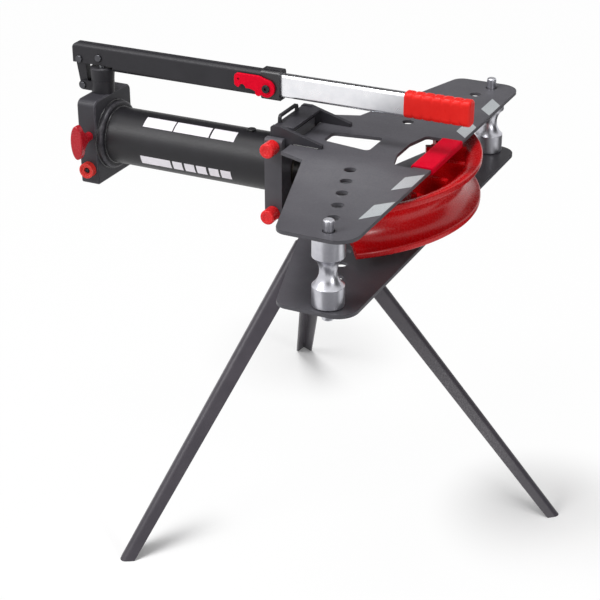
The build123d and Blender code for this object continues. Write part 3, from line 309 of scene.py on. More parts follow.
@dataclass(frozen=True)
class WorkedMetal(Finish):
    """Bright metal that a tool ran over: fine lines across or along, with a patchy film of oil."""

    colour: str
    dull: str
    roughness: float
    along: Along
    line: float = 1.8
    relief: float = 0.12
    haze: float = 0.1
    film: float = 28.0

    def look(self, tree: Tree, place: Socket) -> Sockets:
        """Builds the metal.

        Args:
            tree: the material's node tree.
            place: coordinates of the patterns.

        Returns:
            What each socket of the shader takes.
        """
        # Tool marks are a tenth of a millimetre apart; drawn coarser so that they show.
        # The wave texture takes the sine of twenty times the place
        scale = FULL_TURN / (20 * self.line * MM)
        bands = {"wave_type": "BANDS", "bands_direction": self.along.value}
        lines = add_node(tree, "TexWave", bands, {
            "Vector": place, "Scale": scale, "Distortion": 1.2, "Detail": 3.0, "Detail Scale": 2.0})
        film = add_node(tree, "TexNoise", sockets={
            "Vector": place, "Scale": per_mm(self.film), "Detail": 4.0, "Roughness": 0.65})
        patch = add_node(tree, "MapRange", sockets={
            "Value": film.outputs["Fac"], "From Min": 0.4, "From Max": 0.75})
        colour = add_node(tree, "Mix", {"data_type": "RGBA"}, {
            "Factor": patch.outputs["Result"], 6: linear(self.colour), 7: linear(self.dull)})
        gloss = add_node(tree, "MapRange", sockets={
            "Value": film.outputs["Fac"], "From Min": 0.3, "From Max": 0.8,
            "To Min": self.roughness, "To Max": self.roughness + self.haze})
        bump = add_node(tree, "Bump", sockets={
            "Height": lines.outputs["Fac"], "Strength": self.relief, "Distance": 0.06 * MM})
        return {"Base Color": colour.outputs[2], "Metallic": 1.0, "Roughness": gloss.outputs["Result"],
                "Normal": bump.outputs["Normal"]}


@dataclass(frozen=True)
class Moulding(TwoTone):
    """Moulded or dipped plastic: even colour, soft sheen, a faint skin from the mould."""

    roughness: float
    skin: float = 3.0
    relief: float = 0.12
    specular: float = 0.5
    flow: float = 34.0

    def look(self, tree: Tree, place: Socket) -> Sockets:
        """Builds the plastic.

        Args:
            tree: the material's node tree.
            place: coordinates of the patterns.

        Returns:
            What each socket of the shader takes.
        """
        body = self.mottle(tree, place, self.flow, detail=3.0, share=(0.3, 0.72))
        skin = add_node(tree, "TexNoise", sockets={
            "Vector": place, "Scale": per_mm(self.skin), "Detail": 2.0})
        gloss = add_node(tree, "MapRange", sockets={
            "Value": skin.outputs["Fac"], "From Min": 0.3, "From Max": 0.7,
            "To Min": self.roughness - 0.04, "To Max": self.roughness + 0.1})
        bump = add_node(tree, "Bump", sockets={
            "Height": skin.outputs["Fac"], "Strength": self.relief, "Distance": 0.2 * MM})
        return {"Base Color": body, "Roughness": gloss.outputs["Result"], "IOR": 1.49,
                "Specular IOR Level": self.specular, "Normal": bump.outputs["Normal"]}


@dataclass(frozen=True)
class BeadedFilm(Finish):
    """Reflective tape: a pale grey face of glass beads in small cells under a clear film."""

    colour: str
    cell_edge: str
    cell: float = 3.0

    def look(self, tree: Tree, place: Socket) -> Sockets:
        """Builds the tape.

        Args:
            tree: the material's node tree.
            place: coordinates of the patterns.

        Returns:
            What each socket of the shader takes.
        """
        # Cells of about a millimetre, drawn at three so that their net still shows
        cells = add_node(tree, "TexVoronoi", {"feature": "DISTANCE_TO_EDGE"}, {
            "Vector": place, "Scale": per_mm(self.cell), "Randomness": 0.25})
        net = add_node(tree, "MapRange", sockets={
            "Value": cells.outputs["Distance"], "From Min": 0.02, "From Max": 0.16})
        body = add_node(tree, "Mix", {"data_type": "RGBA"}, {
            "Factor": net.outputs["Result"], 6: linear(self.cell_edge), 7: linear(self.colour)})
        bump = add_node(tree, "Bump", sockets={
            "Height": net.outputs["Result"], "Strength": 0.1, "Distance": 0.05 * MM})
        return {"Base Color": body.outputs[2], "Roughness": 0.34, "IOR": 1.5,
                "Normal": bump.outputs["Normal"]}


class Coat(Enum):
    """Finishes of the machine."""

    # Welded steel under satin black: a soft grey sheen, edges painted a little paler, partly wear and partly
    # a painted highlight
    BLACK = PowderCoat("satin_black_powder_coat", "#222125", "#2A292D", "#4C4A50")
    # Thick machined blocks under the same satin powder, painted greyer as painted light for faces that little
    # light reaches, with paler edges as a painted highlight
    BLOCK = PowderCoat("satin_black_powder_coat_painted_lighter_on_blocks", "#302F34", "#39383D", "#5A585F")
    # Honed tube: the same powder, painted darker as painted shade for its brightly lit near side, with one
    # soft line of light along its top
    TUBE = PowderCoat("satin_black_powder_coat_painted_darker_on_tube", "#1A191C", "#212024", "#4C4A50", specular=0.36)
    # Wetter coat on the lever's collar and the weld seams: their edges catch the light, and the collar's
    # rounded edges are also painted paler, a painted highlight
    COLLAR = PowderCoat("gloss_black_powder_coat", "#222124", "#2A292C", "#66646A",
                        roughness=0.26, specular=0.5)
    # Cut plate: the same powder painted greyer than the welded parts, a painted light for the light that
    # falls on the plates, and painted dark along its cut edges, a painted shade
    PLATE = PowderCoat("laser_cut_plate_grey_black_powder_coat", "#4E4D52", "#57565B", "#262528",
                       roughness=0.4, specular=0.22, relief=0.05)
    # Pressed angle steel: smooth rolled faces in an even grey black, painted lighter than the welded parts as
    # painted light on the lit faces, with a dull shine along the bend and paler edges as a painted highlight
    LEG = PowderCoat("black_powder_coat_painted_lighter_on_legs", "#434046", "#4E4A50", "#5E5C62",
                     roughness=0.34, specular=0.25, relief=0.05)
    # Thin stamped steel in crimson: flat colour with a low sheen, its rounded edges painted paler, a painted
    # highlight
    LATCH = PowderCoat("stamped_latch_red_powder_coat", "#DC0226", "#E2062A", "#E8384C",
                       roughness=0.5, specular=0.06)
    # Turned steel under red paint: flatter than the enamel, its rims painted paler, a painted highlight
    PLUG = PowderCoat("machined_plug_red_paint", "#CE2C28", "#D63630", "#E87068",
                      roughness=0.4, specular=0.2)
    # Gloss enamel on a sand casting: deep red, with shine broken into speckles and rounded edges painted a
    # paler red, a painted highlight
    FORMER = CastEnamel("sand_cast_red_enamel", "#B8060E", "#C60C12", "#C41C18",
                        roughness=0.22, specular=0.36, sand=2.8)
    # Bright turned steel: soft upright bands of light and dark
    ROLLER = WorkedMetal("lathe_turned_bright_steel", "#D2D2D8", "#B8B8C0", 0.3, Along.Z)
    # Faced ends show the coarser feed of the tool, and look pale and dull
    FACED = WorkedMetal("lathe_faced_steel", "#CFCFD4", "#B8B8BE", 0.5, Along.X, line=1.2, relief=0.04)
    # Ground steel: a clear mirror with the finest of lines
    PIN = WorkedMetal("ground_bright_steel_pin", "#C0C2C6", "#9EA0A6", 0.2, Along.Y)
    # Drawn tube under bright zinc: nearly white where it faces the floor
    BAR = WorkedMetal("cold_drawn_zinc_plated_steel", "#F4F4F7", "#E9EAEE", 0.26, Along.X,
                      line=7.0, relief=0.05, haze=0.06)
    # Bolts in dull zinc: pale grey, with no clear reflection
    BOLT = WorkedMetal("zinc_plated_bolt_steel", "#B4B6B8", "#8E9094", 0.3, Along.Z)
    # Polished hard chrome: a nearly clean mirror
    CHROME = WorkedMetal("hard_chromed_ram_steel", "#D4D6DA", "#C0C2C8", 0.08, Along.X, relief=0.04)
    # Bearing bronze in the shade of the head, painted a dark grey brown as painted shade for that shade:
    # hardly bright
    BRONZE = WorkedMetal("turned_bearing_bronze_painted_dark_for_shade", "#46413A", "#2A2724", 0.38, Along.X)
    # Screws blackened in hot oil: near black, with a thin shine
    OXIDE = PowderCoat("blackened_screw_steel", "#1C1C1E", "#242426", "#5A5A5E", roughness=0.36)
    # Hammered rivet heads: dark steel, bright only at the crown
    RIVET = WorkedMetal("headed_rivet_dark_steel", "#5A5A5E", "#3E3E42", 0.26, Along.Y)
    # Dipped vinyl: even crimson with almost no sheen
    SLEEVE = Moulding("dipped_crimson_vinyl", "#C80024", "#D00028", 0.46, skin=4.0, relief=0.1, specular=0.04)
    # Moulded vinyl: warm red, a soft shine along its ribs
    GRIP = Moulding("moulded_red_grip_vinyl", "#E22420", "#EA2C26", 0.3, specular=0.16)
    # Moulded nylon of the pin caps: bright red with small clear highlights
    CAP = Moulding("moulded_red_cap_nylon", "#DA1C20", "#E2262A", 0.22, specular=0.3)
    # Moulded nylon of the release knob: a deeper red with the same highlights
    KNOB = Moulding("moulded_red_knob_nylon", "#A81222", "#B21A26", 0.22, specular=0.36)
    # Nitrile rubber: dull black
    SEAL = Moulding("moulded_nitrile_rubber", "#161616", "#1C1C1C", 0.6)
    # Grey film of glass beads: flat, with a fine net of cells
    TAPE = BeadedFilm("grey_reflective_tape", "#B6BABC", "#9CA2A6")
    # White label film: clean, with a slight gloss
    LABEL = Moulding("printed_white_label_film", "#E6E2E8", "#ECE8EE", 0.34,
                     skin=5.0, relief=0.04, specular=0.3)

    def paint(self, piece: Piece) -> None:
        """Puts the finish on all of a piece.

        Args:
            piece: a CAD node or a new piece.
        """
        made = self.value.material()
        if piece.material_slots:
            for place in piece.material_slots:
                place.material = made
        else:
            piece.data.materials.append(made)


def mesh_object(name: str, shape: Shape) -> Piece:
    """Turns a bmesh into an object of the scene.

    Args:
        name: the object's name.
        shape: the bmesh, which is freed.

    Returns:
        The object.
    """
    mesh = bpy.data.meshes.new(name)
    shape.to_mesh(mesh)
    shape.free()
    made = bpy.data.objects.new(name, mesh)
    bpy.context.scene.collection.objects.link(made)
    return made


def outward(shape: Shape) -> None:
    """Turns the faces of a mesh outward."""
    bmesh.ops.recalc_face_normals(shape, faces=shape.faces[:])


def new_piece(name: str, shape: Shape, body: str, coat: Coat, smooth: float = 40.0) -> Piece:
    """Turns a finished bmesh into a piece that rides on a body.

    Args:
        name: the piece's name.
        shape: the mesh, which is freed.
        body: the CAD body that carries it.
        coat: its finish.
        smooth: edges sharper than this angle in degrees stay crisp.

    Returns:
        The piece.
    """
    piece = mesh_object(name, shape)
    piece.data.shade_smooth()
    piece.data.set_sharp_from_angle(angle=math.radians(smooth))
    coat.paint(piece)
    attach(piece, body)
    LOG.info("piece %s on %s, %d faces", name, body, len(piece.data.polygons))
    return piece


def keep_node(node: str, coat: Coat) -> None:
    """Gives a CAD node its finish."""
    coat.paint(frame["nodes"][node])
    LOG.info("node %s kept, %s", node, coat.name)


def middle_and_size(node: str) -> tuple[Vector, Vector]:
    """Finds the middle of a CAD node's box and its three lengths, in metres."""
    low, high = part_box(node)
    return (low + high) / 2, high - low


def node_shape(node: str) -> Shape:
    """Copies a CAD node's mesh with its loose triangles joined into flat faces.

    Args:
        node: the CAD node.

    Returns:
        The joined copy.
    """
    mesh = frame["nodes"][node].data.copy()
    for spare in ("custom_normal", "sharp_edge", "sharp_face"):
        if spare in mesh.attributes:
            mesh.attributes.remove(mesh.attributes[spare])
    shape = bmesh.new()
    shape.from_mesh(mesh)
    bpy.data.meshes.remove(mesh)
    bmesh.ops.remove_doubles(shape, verts=shape.verts[:], dist=MERGE)
    bmesh.ops.dissolve_limit(shape, angle_limit=math.radians(FLAT), verts=shape.verts[:],
                             edges=shape.edges[:])
    return shape


def bevel_edges(shape: Shape, edges: Edges, width: float, segments: int,
                clamp: bool = False) -> list[bmesh.types.BMFace]:
    """Rounds edges by a width in millimetres, which a clamp may narrow, and gives the new faces."""
    return bmesh.ops.bevel(shape, geom=edges, offset=width * MM, offset_type="OFFSET", affect="EDGES",
                           segments=segments, profile=0.5, material=-1, clamp_overlap=clamp)["faces"]


def round_edges(shape: Shape, width: float, segments: int = 2, corner: float = 35.0) -> None:
    """Rounds the sharp edges of a mesh and marks the roundings, where finishes paint an edge tone that is
    partly wear and partly painted highlight and painted shade.

    Args:
        shape: the mesh.
        width: width of the rounding in millimetres.
        segments: facets across the rounding.
        corner: edges sharper than this angle in degrees are rounded.
    """
    edge_scuffs_and_shading = shape.loops.layers.float.new("edge_scuffs_and_shading")
    limit = math.radians(corner)
    sharp = [e for e in shape.edges if len(e.link_faces) == 2 and e.calc_face_angle(0.0) > limit]
    for face in bevel_edges(shape, sharp, width, segments, clamp=True):
        for loop in face.loops:
            loop[edge_scuffs_and_shading] = 1.0


def stand_in(node: str, shape: Shape, coat: Coat) -> Piece:
    """Puts a dressed shape in the place of a CAD node.

    Args:
        node: the CAD node that it replaces.
        shape: the dressed mesh, which is freed.
        coat: its finish.

    Returns:
        The piece.
    """
    piece = new_piece(node + "_dressed", shape, frame["nodes"][node]["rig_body"], coat)
    steady = piece.modifiers.new("even_normals", "WEIGHTED_NORMAL")
    steady.keep_sharp = True
    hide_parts(node)
    return piece


def round_node(node: str, coat: Coat, width: float, segments: int = 2) -> None:
    """Stands a copy with rounded edges in for a CAD node.

    Args:
        node: the CAD node.
        coat: its finish.
        width: width of the rounding in millimetres.
        segments: facets across the rounding.
    """
    shape = node_shape(node)
    round_edges(shape, width, segments)
    stand_in(node, shape, coat)


@dataclass
class WeldBead:
    """Fillet weld laid in short overlapping ripples by an uneven hand, then painted over."""

    name: str
    body: str
    width: float = 3.8
    sides: int = 10
    crease: float = 80.0
    ripple: float = 3.2
    ripple_steps: int = 4
    # Shares of the width: a ripple's height, the hand's wander over some ripples, and a run's thin tip
    swell: float = 0.02
    wander: float = 0.14
    wander_ripples: Span = (9.0, 23.0)
    tip: float = 0.35
    tip_rise: float = 0.75

    def ring(self, centre: Vector, radius: float) -> None:
        """Lays a bead round the cylinder's axis.

        Args:
            centre: middle of the ring in metres.
            radius: radius of the seam in metres.
        """
        shape = self.profile(centre + Vector((0, 0, radius)), Vector((0, 1, 0)))
        ripples = round(FULL_TURN * radius / (self.ripple * MM))
        bmesh.ops.spin(shape, geom=shape.verts[:] + shape.edges[:], cent=centre, axis=(1, 0, 0),
                       angle=FULL_TURN, steps=self.ripple_steps * ripples, use_merge=True)
        for vert in shape.verts:
            arm = vert.co - centre
            turn = math.atan2(arm.y, arm.z)
            seam = centre + Vector((0, math.sin(turn), math.cos(turn))) * radius
            vert.co = seam + (vert.co - seam) * self.fullness(turn * ripples)
        self.lay(shape)

    def run(self, start: Vector, end: Vector) -> None:
        """Lays a straight bead.

        Args:
            start: one end of the seam in metres.
            end: the other end.
        """
        way = end - start
        ripples = round(way.length / (self.ripple * MM))
        steps = self.ripple_steps * ripples
        shape = self.profile(start, way.normalized())
        bmesh.ops.spin(shape, geom=shape.verts[:] + shape.edges[:], cent=start, axis=(0, 0, 1),
                       angle=0.0, dvec=way / steps, steps=steps)
        for vert in shape.verts:
            along = (vert.co - start).dot(way) / way.length_squared
            seam = start + way * along
            # The first and the last ripple run out to a point
            taper = min(1.0, self.tip + self.tip_rise * min(along, 1 - along) * ripples)
            vert.co = seam + (vert.co - seam) * taper * self.fullness(along * ripples * FULL_TURN)
        bmesh.ops.holes_fill(shape, edges=[e for e in shape.edges if e.is_boundary])
        self.lay(shape)

    def lay(self, shape: Shape) -> None:
        """Puts a finished bead on its body, and frees its mesh."""
        outward(shape)
        new_piece(self.name, shape, self.body, Coat.COLLAR, smooth=self.crease)

    def fullness(self, phase: float) -> float:
        """Gives the bead's fullness about one, at a phase that grows by a full turn with each ripple."""
        first, second = (math.sin(phase / ripples) for ripples in self.wander_ripples)
        return 1 + self.swell * math.sin(phase) + self.wander * first * second

    def profile(self, place: Vector, way: Vector) -> Shape:
        """Starts a bead with its round section.

        Args:
            place: middle of the section in metres.
            way: direction of the seam there.

        Returns:
            A mesh that holds one ring of edges.
        """
        shape = bmesh.new()
        turn = Vector((0, 0, 1)).rotation_difference(way).to_matrix().to_4x4()
        bmesh.ops.create_circle(shape, segments=self.sides, radius=self.width / 2 * MM,
                                matrix=Matrix.Translation(place) @ turn)
        return shape


@dataclass
class Cylinder:
    """Hydraulic cylinder with its head, ram, weld seams and a label of blank fields."""

    head_edge: float = 1.2
    collar_edge: float = 2.2
    collar_facets: int = 3
    label_film: float = 0.25
    label_step: float = 4.0
    # Edges of each row of the label as angles from the tube's top, then both ends of its fields
    rows: tuple[tuple[Span, tuple[Span, ...]], ...] = (
        ((17.3, 42.3), ((69.0, 127.4), (130.0, 198.5), (202.0, 247.4))),
        ((103.3, 124.0), ((70.0, 129.7), (134.0, 153.0), (157.5, 177.0), (181.0, 200.3),
                          (205.5, 224.5), (228.5, 248.0))))

    def build(self) -> None:
        """Dresses the cylinder, welds its seams and sticks the label on."""
        keep_node("cylinder_tube", Coat.TUBE)
        round_node("cylinder_head", Coat.PLATE, self.head_edge)
        round_node("tube_collar", Coat.BLACK, self.collar_edge, self.collar_facets)
        keep_node("ram_gland", Coat.BRONZE)
        keep_node("ram", Coat.CHROME)
        keep_node("ram_piston", Coat.PIN)
        keep_node("piston_seal", Coat.SEAL)
        keep_node("filler_plug", Coat.OXIDE)
        self.seams()
        for row, (edge, fields) in enumerate(self.rows, 1):
            for number, ends in enumerate(fields, 1):
                self.blank(f"label_{row}_{number}", edge, ends)

    def seams(self) -> None:
        """Welds the tube to the head and the collar, and the collar to the pump block."""
        middle, size = middle_and_size("cylinder_tube")
        ring_low, ring_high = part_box("tube_collar")
        seams = (("weld_tube_head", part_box("cylinder_head")[0].x, size.z / 2),
                 ("weld_tube_collar", ring_high.x, size.z / 2),
                 ("weld_collar_block", ring_low.x, (ring_high.z - ring_low.z) / 2))
        for name, x, radius in seams:
            WeldBead(name, "frame").ring(Vector((x, middle.y, middle.z)), radius)

    def blank(self, name: str, edge: Span, ends: Span) -> None:
        """Sticks one blank field of the label round the tube.

        Args:
            name: the piece's name.
            edge: angles from the top of the tube to the field's upper and lower edge.
            ends: distances from the collar to the field's ends in millimetres.
        """
        middle, size = middle_and_size("cylinder_tube")
        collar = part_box("tube_collar")[1].x
        shape = bmesh.new()
        tips = [shape.verts.new((collar + e * MM, middle.y, middle.z + size.z / 2)) for e in ends]
        line = shape.edges.new(tips)
        turn = Matrix.Rotation(math.radians(edge[0]), 4, "X")
        bmesh.ops.transform(shape, matrix=turn, space=Matrix.Translation(-middle), verts=shape.verts[:])
        sweep = edge[1] - edge[0]
        bmesh.ops.spin(shape, geom=tips + [line], cent=middle, axis=(1, 0, 0), angle=math.radians(sweep),
                       steps=round(sweep / self.label_step))
        outward(shape)
        first = shape.faces[:][0]
        if first.normal.dot(first.calc_center_median() - middle) < 0:
            bmesh.ops.reverse_faces(shape, faces=shape.faces[:])
        bmesh.ops.solidify(shape, geom=shape.faces[:], thickness=-self.label_film * MM)
        outward(shape)
        new_piece(name, shape, "frame", Coat.LABEL)


@dataclass
class Pump:
    """Pump block at the rear with its barrel, link, release knob and pressure plug."""

    block_edge: float = 1.2
    fine_edge: float = 0.6
    plug_facets: int = 64
    plug_edge_facets: int = 3
    # Width and depth of each step from the plug's rim inward
    plug_steps: tuple[Span, ...] = ((3.4, 0.0), (0.6, 2.4), (4.0, 0.0), (0.4, 4.0))
    socket_width: float = 7.6
    socket_play: float = 0.1
    socket_wall: float = 3.0
    socket_depth: float = 7.0
    socket_rim: float = 1.2
    socket_sink: float = 1.5
    knob_facets: int = 72
    knob_wing: float = 14.0
    knob_rim: float = 3.0
    knob_rim_facets: int = 6
    # Distance from the knob's face, width and height of each ring of its back
    knob_back: tuple[Point, ...] = ((7.0, 20.0, 54.0), (14.0, 20.0, 50.0), (24.0, 18.0, 28.0),
                                    (31.0, 16.5, 18.0), (43.0, 15.5, 15.5))

    def build(self) -> None:
        """Dresses the pump end."""
        round_node("pump_block", Coat.BLOCK, self.block_edge)
        for node in ("pump_barrel", "gland_nut", "lever_link"):
            round_node(node, Coat.BLACK, self.fine_edge)
        keep_node("pump_rod", Coat.CHROME)
        keep_node("fork_pin", Coat.RIVET)
        keep_node("lever_pins", Coat.RIVET)
        keep_node("valve_stem", Coat.PIN)
        self.knob()
        self.plug()
        self.socket()

    def facing(self, place: Point, wide: float = 1.0, tall: float = 1.0) -> Matrix:
        """Gives the placing that turns a round shape to the near side and stretches it in X and Z."""
        turn = Matrix.Rotation(math.pi / 2, 4, "X")
        return Matrix.Translation(place) @ Matrix.Diagonal((wide, 1, tall, 1)) @ turn

    def knob(self) -> None:
        """Moulds the release knob: an oval wing with a soft rim, drawn in behind to a round neck."""
        middle, size = middle_and_size("release_knob")
        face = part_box("release_knob")[0].y
        wing = self.knob_wing * MM
        shape = bmesh.new()
        bmesh.ops.create_cone(
            shape, cap_ends=True, segments=self.knob_facets, radius1=0.5, radius2=0.5, depth=wing,
            matrix=self.facing((middle.x, face + wing / 2, middle.z), size.x, size.z))
        rims = [e for e in shape.edges if any(abs(f.normal.y) > SQUARE for f in e.link_faces)]
        bevel_edges(shape, rims, self.knob_rim, self.knob_rim_facets)
        loops = []
        for inward, wide, tall in self.knob_back:
            place = self.facing((middle.x, face + inward * MM, middle.z), wide * MM, tall * MM)
            ring = bmesh.ops.create_circle(shape, segments=self.knob_facets, radius=0.5, matrix=place)
            loops.append([e for e in shape.edges if all(v in ring["verts"] for v in e.verts)])
        for outer, inner in zip(loops, loops[1:]):
            bmesh.ops.bridge_loops(shape, edges=outer + inner)
        bmesh.ops.holes_fill(shape, edges=loops[0] + loops[-1])
        outward(shape)
        stand_in("release_knob", shape, Coat.KNOB)

    def plug(self) -> None:
        """Turns the pressure plug: a rim, a sunk ring and a round socket."""
        middle, size = middle_and_size("pressure_plug")
        shape = bmesh.new()
        bmesh.ops.create_cone(shape, cap_ends=True, segments=self.plug_facets, radius1=size.x / 2,
                              radius2=size.x / 2, depth=size.y, matrix=self.facing(middle))
        front = [f for f in shape.faces if f.normal.y < -SQUARE]
        for width, depth in self.plug_steps:
            bmesh.ops.inset_region(shape, faces=front, thickness=width * MM, depth=-depth * MM)
        round_edges(shape, self.fine_edge, self.plug_edge_facets)
        stand_in("pressure_plug", shape, Coat.PLUG)

    def socket(self) -> None:
        """Sets the dark hexagon into the pressure plug's socket."""
        middle = middle_and_size("pressure_plug")[0]
        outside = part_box("pressure_plug")[0].y
        floor = outside + self.socket_depth * MM
        face = outside + self.socket_wall * MM
        radius = (self.socket_width / 2 / math.cos(math.pi / 6) - self.socket_play) * MM
        place = self.facing((middle.x, (floor + face) / 2, middle.z)) @ Matrix.Rotation(math.pi / 6, 4, "Z")
        shape = bmesh.new()
        bmesh.ops.create_cone(shape, cap_ends=True, segments=6, radius1=radius, radius2=radius,
                              depth=floor - face, matrix=place)
        front = [f for f in shape.faces if f.normal.y < -SQUARE]
        bmesh.ops.inset_region(shape, faces=front, thickness=self.socket_rim * MM,
                               depth=-self.socket_sink * MM)
        new_piece("plug_hexagon", shape, "frame", Coat.OXIDE)


@dataclass
class Lever:
    """Pump lever with its collar, sliding bar, grip and latch."""

    tube_edge: float = 0.6
    bar_edge: float = 0.5
    stamped_edge: float = 0.8
    grip_corner: float = 8.0
    grip_corner_facets: int = 8
    grip_end: float = 4.0
    grip_end_facets: int = 5
    grip_thin: float = 3.0
    grip_cuts: int = 110
    ribs: int = 7
    rib_step: float = 16.3
    rib_margin: float = 0.2
    valley: float = 1.3
    valley_power: int = 10
    round_power: int = 4
    # Shares of the grip's half height: where the valleys start and are full, and where its sides are cut
    start: float = 0.42
    full: float = 0.8
    rows: tuple[float, ...] = (-0.58, -0.42, 0.42, 0.58)

    def build(self) -> None:
        """Dresses the lever."""
        round_node("lever_tube", Coat.BLACK, self.tube_edge)
        round_node("lever_collar", Coat.COLLAR, self.stamped_edge)
        round_node("lever_bar", Coat.BAR, self.bar_edge)
        self.grip()
        round_node("lever_latch", Coat.LATCH, self.stamped_edge)
        keep_node("latch_screw", Coat.OXIDE)

    def lengthwise(self, shape: Shape, length: float) -> Edges:
        """Picks the edges that run along the grip for more than half of its length."""
        return [e for e in shape.edges if abs(e.verts[0].co.x - e.verts[1].co.x) > length / 2]

    def grip(self) -> None:
        """Moulds the grip: soft corners, and crowned ribs along its upper and lower edge."""
        low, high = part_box("lever_grip")
        low.z += self.grip_thin * MM
        middle, size = (low + high) / 2, high - low
        shape = bmesh.new()
        place = Matrix.Translation(middle) @ Matrix.Diagonal((*size, 1))
        bmesh.ops.create_cube(shape, size=1.0, matrix=place)
        bevel_edges(shape, self.lengthwise(shape, size.x), self.grip_corner, self.grip_corner_facets)
        ends = [e for e in shape.edges if len({abs(f.normal.x) > SQUARE for f in e.link_faces}) == 2]
        bevel_edges(shape, ends, self.grip_end, self.grip_end_facets)
        bmesh.ops.subdivide_edges(shape, edges=self.lengthwise(shape, size.x), cuts=self.grip_cuts,
                                  use_grid_fill=True)
        for row in self.rows:
            bmesh.ops.bisect_plane(shape, geom=shape.verts[:] + shape.edges[:] + shape.faces[:], dist=MERGE,
                                   plane_co=(0, 0, middle.z + row * size.z / 2), plane_no=(0, 0, 1))
        span = self.ribs * self.rib_step * MM
        for vert in shape.verts:
            along = (vert.co.x - middle.x + span / 2) / (self.rib_step * MM)
            side = (vert.co.y - middle.y) / (size.y / 2)
            rise = (vert.co.z - middle.z) / (size.z / 2)
            if self.rib_margin < along < self.ribs - self.rib_margin and abs(rise) > self.start:
                # A narrow valley between two crowned ribs, fading out down the flat sides
                depth = self.valley * MM * abs(math.cos(math.pi * along)) ** self.valley_power
                depth *= min(1.0, (abs(rise) - self.start) / (self.full - self.start))
                vert.co.z -= math.copysign(depth * rise ** self.round_power, rise)
                vert.co.y -= math.copysign(depth * side ** self.round_power, side)
        outward(shape)
        stand_in("lever_grip", shape, Coat.GRIP)


@dataclass
class Wings:
    """Upper and lower wing with the hinge bracket, sleeve, pins and tape."""

    cut_edge: float = 0.8
    sleeve_edge: float = 2.4
    sleeve_facets: int = 4
    bail_slim: float = 1.5
    bail_foot: float = 0.1
    seam: float = 4.0
    seam_inset: float = 3.0
    cap_edge: float = 1.4
    cap_facets: int = 3
    cap_rim: float = 3.0
    cap_slope: float = 0.8
    cap_dish: float = 0.9
    tape_film: float = 0.3
    tape_corner: float = 1.5
    tape_facets: int = 4
    # Rear and front edge of the tape behind the wing's front
    tape_edge: Span = (25.5, 1.5)
    # Inner and outer end of each tape from the middle, at its rear edge and then at its front edge
    marks: tuple[tuple[Span, Span], ...] = (((114.0, 172.0), (90.0, 146.0)),
                                            ((236.0, 295.0), (211.0, 267.0)))

    def build(self) -> None:
        """Dresses the wings, welds the bracket and sticks the tape on."""
        for node in ("wing_plate", "lower_plate"):
            round_node(node, Coat.PLATE, self.cut_edge)
        for node in ("wing_cheeks", "wing_cover", "lower_ears"):
            round_node(node, Coat.BLOCK, self.cut_edge)
        self.bail()
        self.seams()
        round_node("wing_sleeve", Coat.SLEEVE, self.sleeve_edge, self.sleeve_facets)
        for pin in ("upper_pin", "lower_pin"):
            keep_node(pin, Coat.PIN)
            self.cap(pin + "_cap")
        for side, sign in (("near", -1), ("far", 1)):
            for number, mark in enumerate(self.marks, 1):
                self.tape(f"tape_{side}_{number}", sign, *mark)

    def bail(self) -> None:
        """Slims the bail's bar to the thin one of the photograph, with its feet left on the cover."""
        shape = node_shape("wing_bail")
        shape.normal_update()
        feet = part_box("wing_bail")[0].z + self.bail_foot * MM
        for vert, way in [(v, v.normal.copy()) for v in shape.verts]:
            if vert.co.z < feet:
                way.z = 0.0
            vert.co -= way * self.bail_slim * MM
        stand_in("wing_bail", shape, Coat.BLACK)

    def seams(self) -> None:
        """Welds the outer sides of the two hinge cheeks to the upper wing."""
        low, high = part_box("wing_cheeks")
        plate_low, plate_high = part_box("wing_plate")
        start, end = plate_low.x + self.seam_inset * MM, high.x - self.seam_inset * MM
        for side, y in (("near", low.y), ("far", high.y)):
            bead = WeldBead(f"weld_cheek_{side}", "wing", self.seam)
            bead.run(Vector((start, y, plate_high.z)), Vector((end, y, plate_high.z)))

    def cap(self, node: str) -> None:
        """Gives a pin cap the shallow dish that the mould leaves in its face.

        Args:
            node: the CAD node of the cap.
        """
        shape = node_shape(node)
        round_edges(shape, self.cap_edge, self.cap_facets)
        face = max((f for f in shape.faces if f.normal.y < -SQUARE), key=lambda f: f.calc_area())
        bmesh.ops.inset_region(shape, faces=[face], thickness=self.cap_rim * MM)
        bmesh.ops.inset_region(shape, faces=[face], thickness=self.cap_slope * MM, depth=-self.cap_dish * MM)
        stand_in(node, shape, Coat.CAP)

    def tape(self, name: str, sign: int, rear: Span, front: Span) -> None:
        """Sticks one slanted piece of tape on the upper wing.

        Args:
            name: the piece's name.
            sign: minus for the near wing, plus for the far one.
            rear: inner and outer end at the tape's rear edge.
            front: inner and outer end at its front edge.
        """
        low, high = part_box("wing_plate")
        middle = (low.y + high.y) / 2
        back, fore = (high.x - edge * MM for edge in self.tape_edge)
        corners = ((back, rear[0]), (back, rear[1]), (fore, front[1]), (fore, front[0]))
        shape = bmesh.new()
        sheet = shape.faces.new([shape.verts.new((x, middle + sign * y * MM, high.z)) for x, y in corners])
        raised = bmesh.ops.extrude_face_region(shape, geom=[sheet])
        lifted = [v for v in raised["geom"] if isinstance(v, bmesh.types.BMVert)]
        film = self.tape_film * MM
        bmesh.ops.translate(shape, verts=lifted, vec=(0, 0, film))
        outward(shape)
        upright = [e for e in shape.edges if abs(e.verts[0].co.z - e.verts[1].co.z) > film / 2]
        bevel_edges(shape, upright, self.tape_corner, self.tape_facets)
        new_piece(name, shape, "wing", Coat.TAPE)


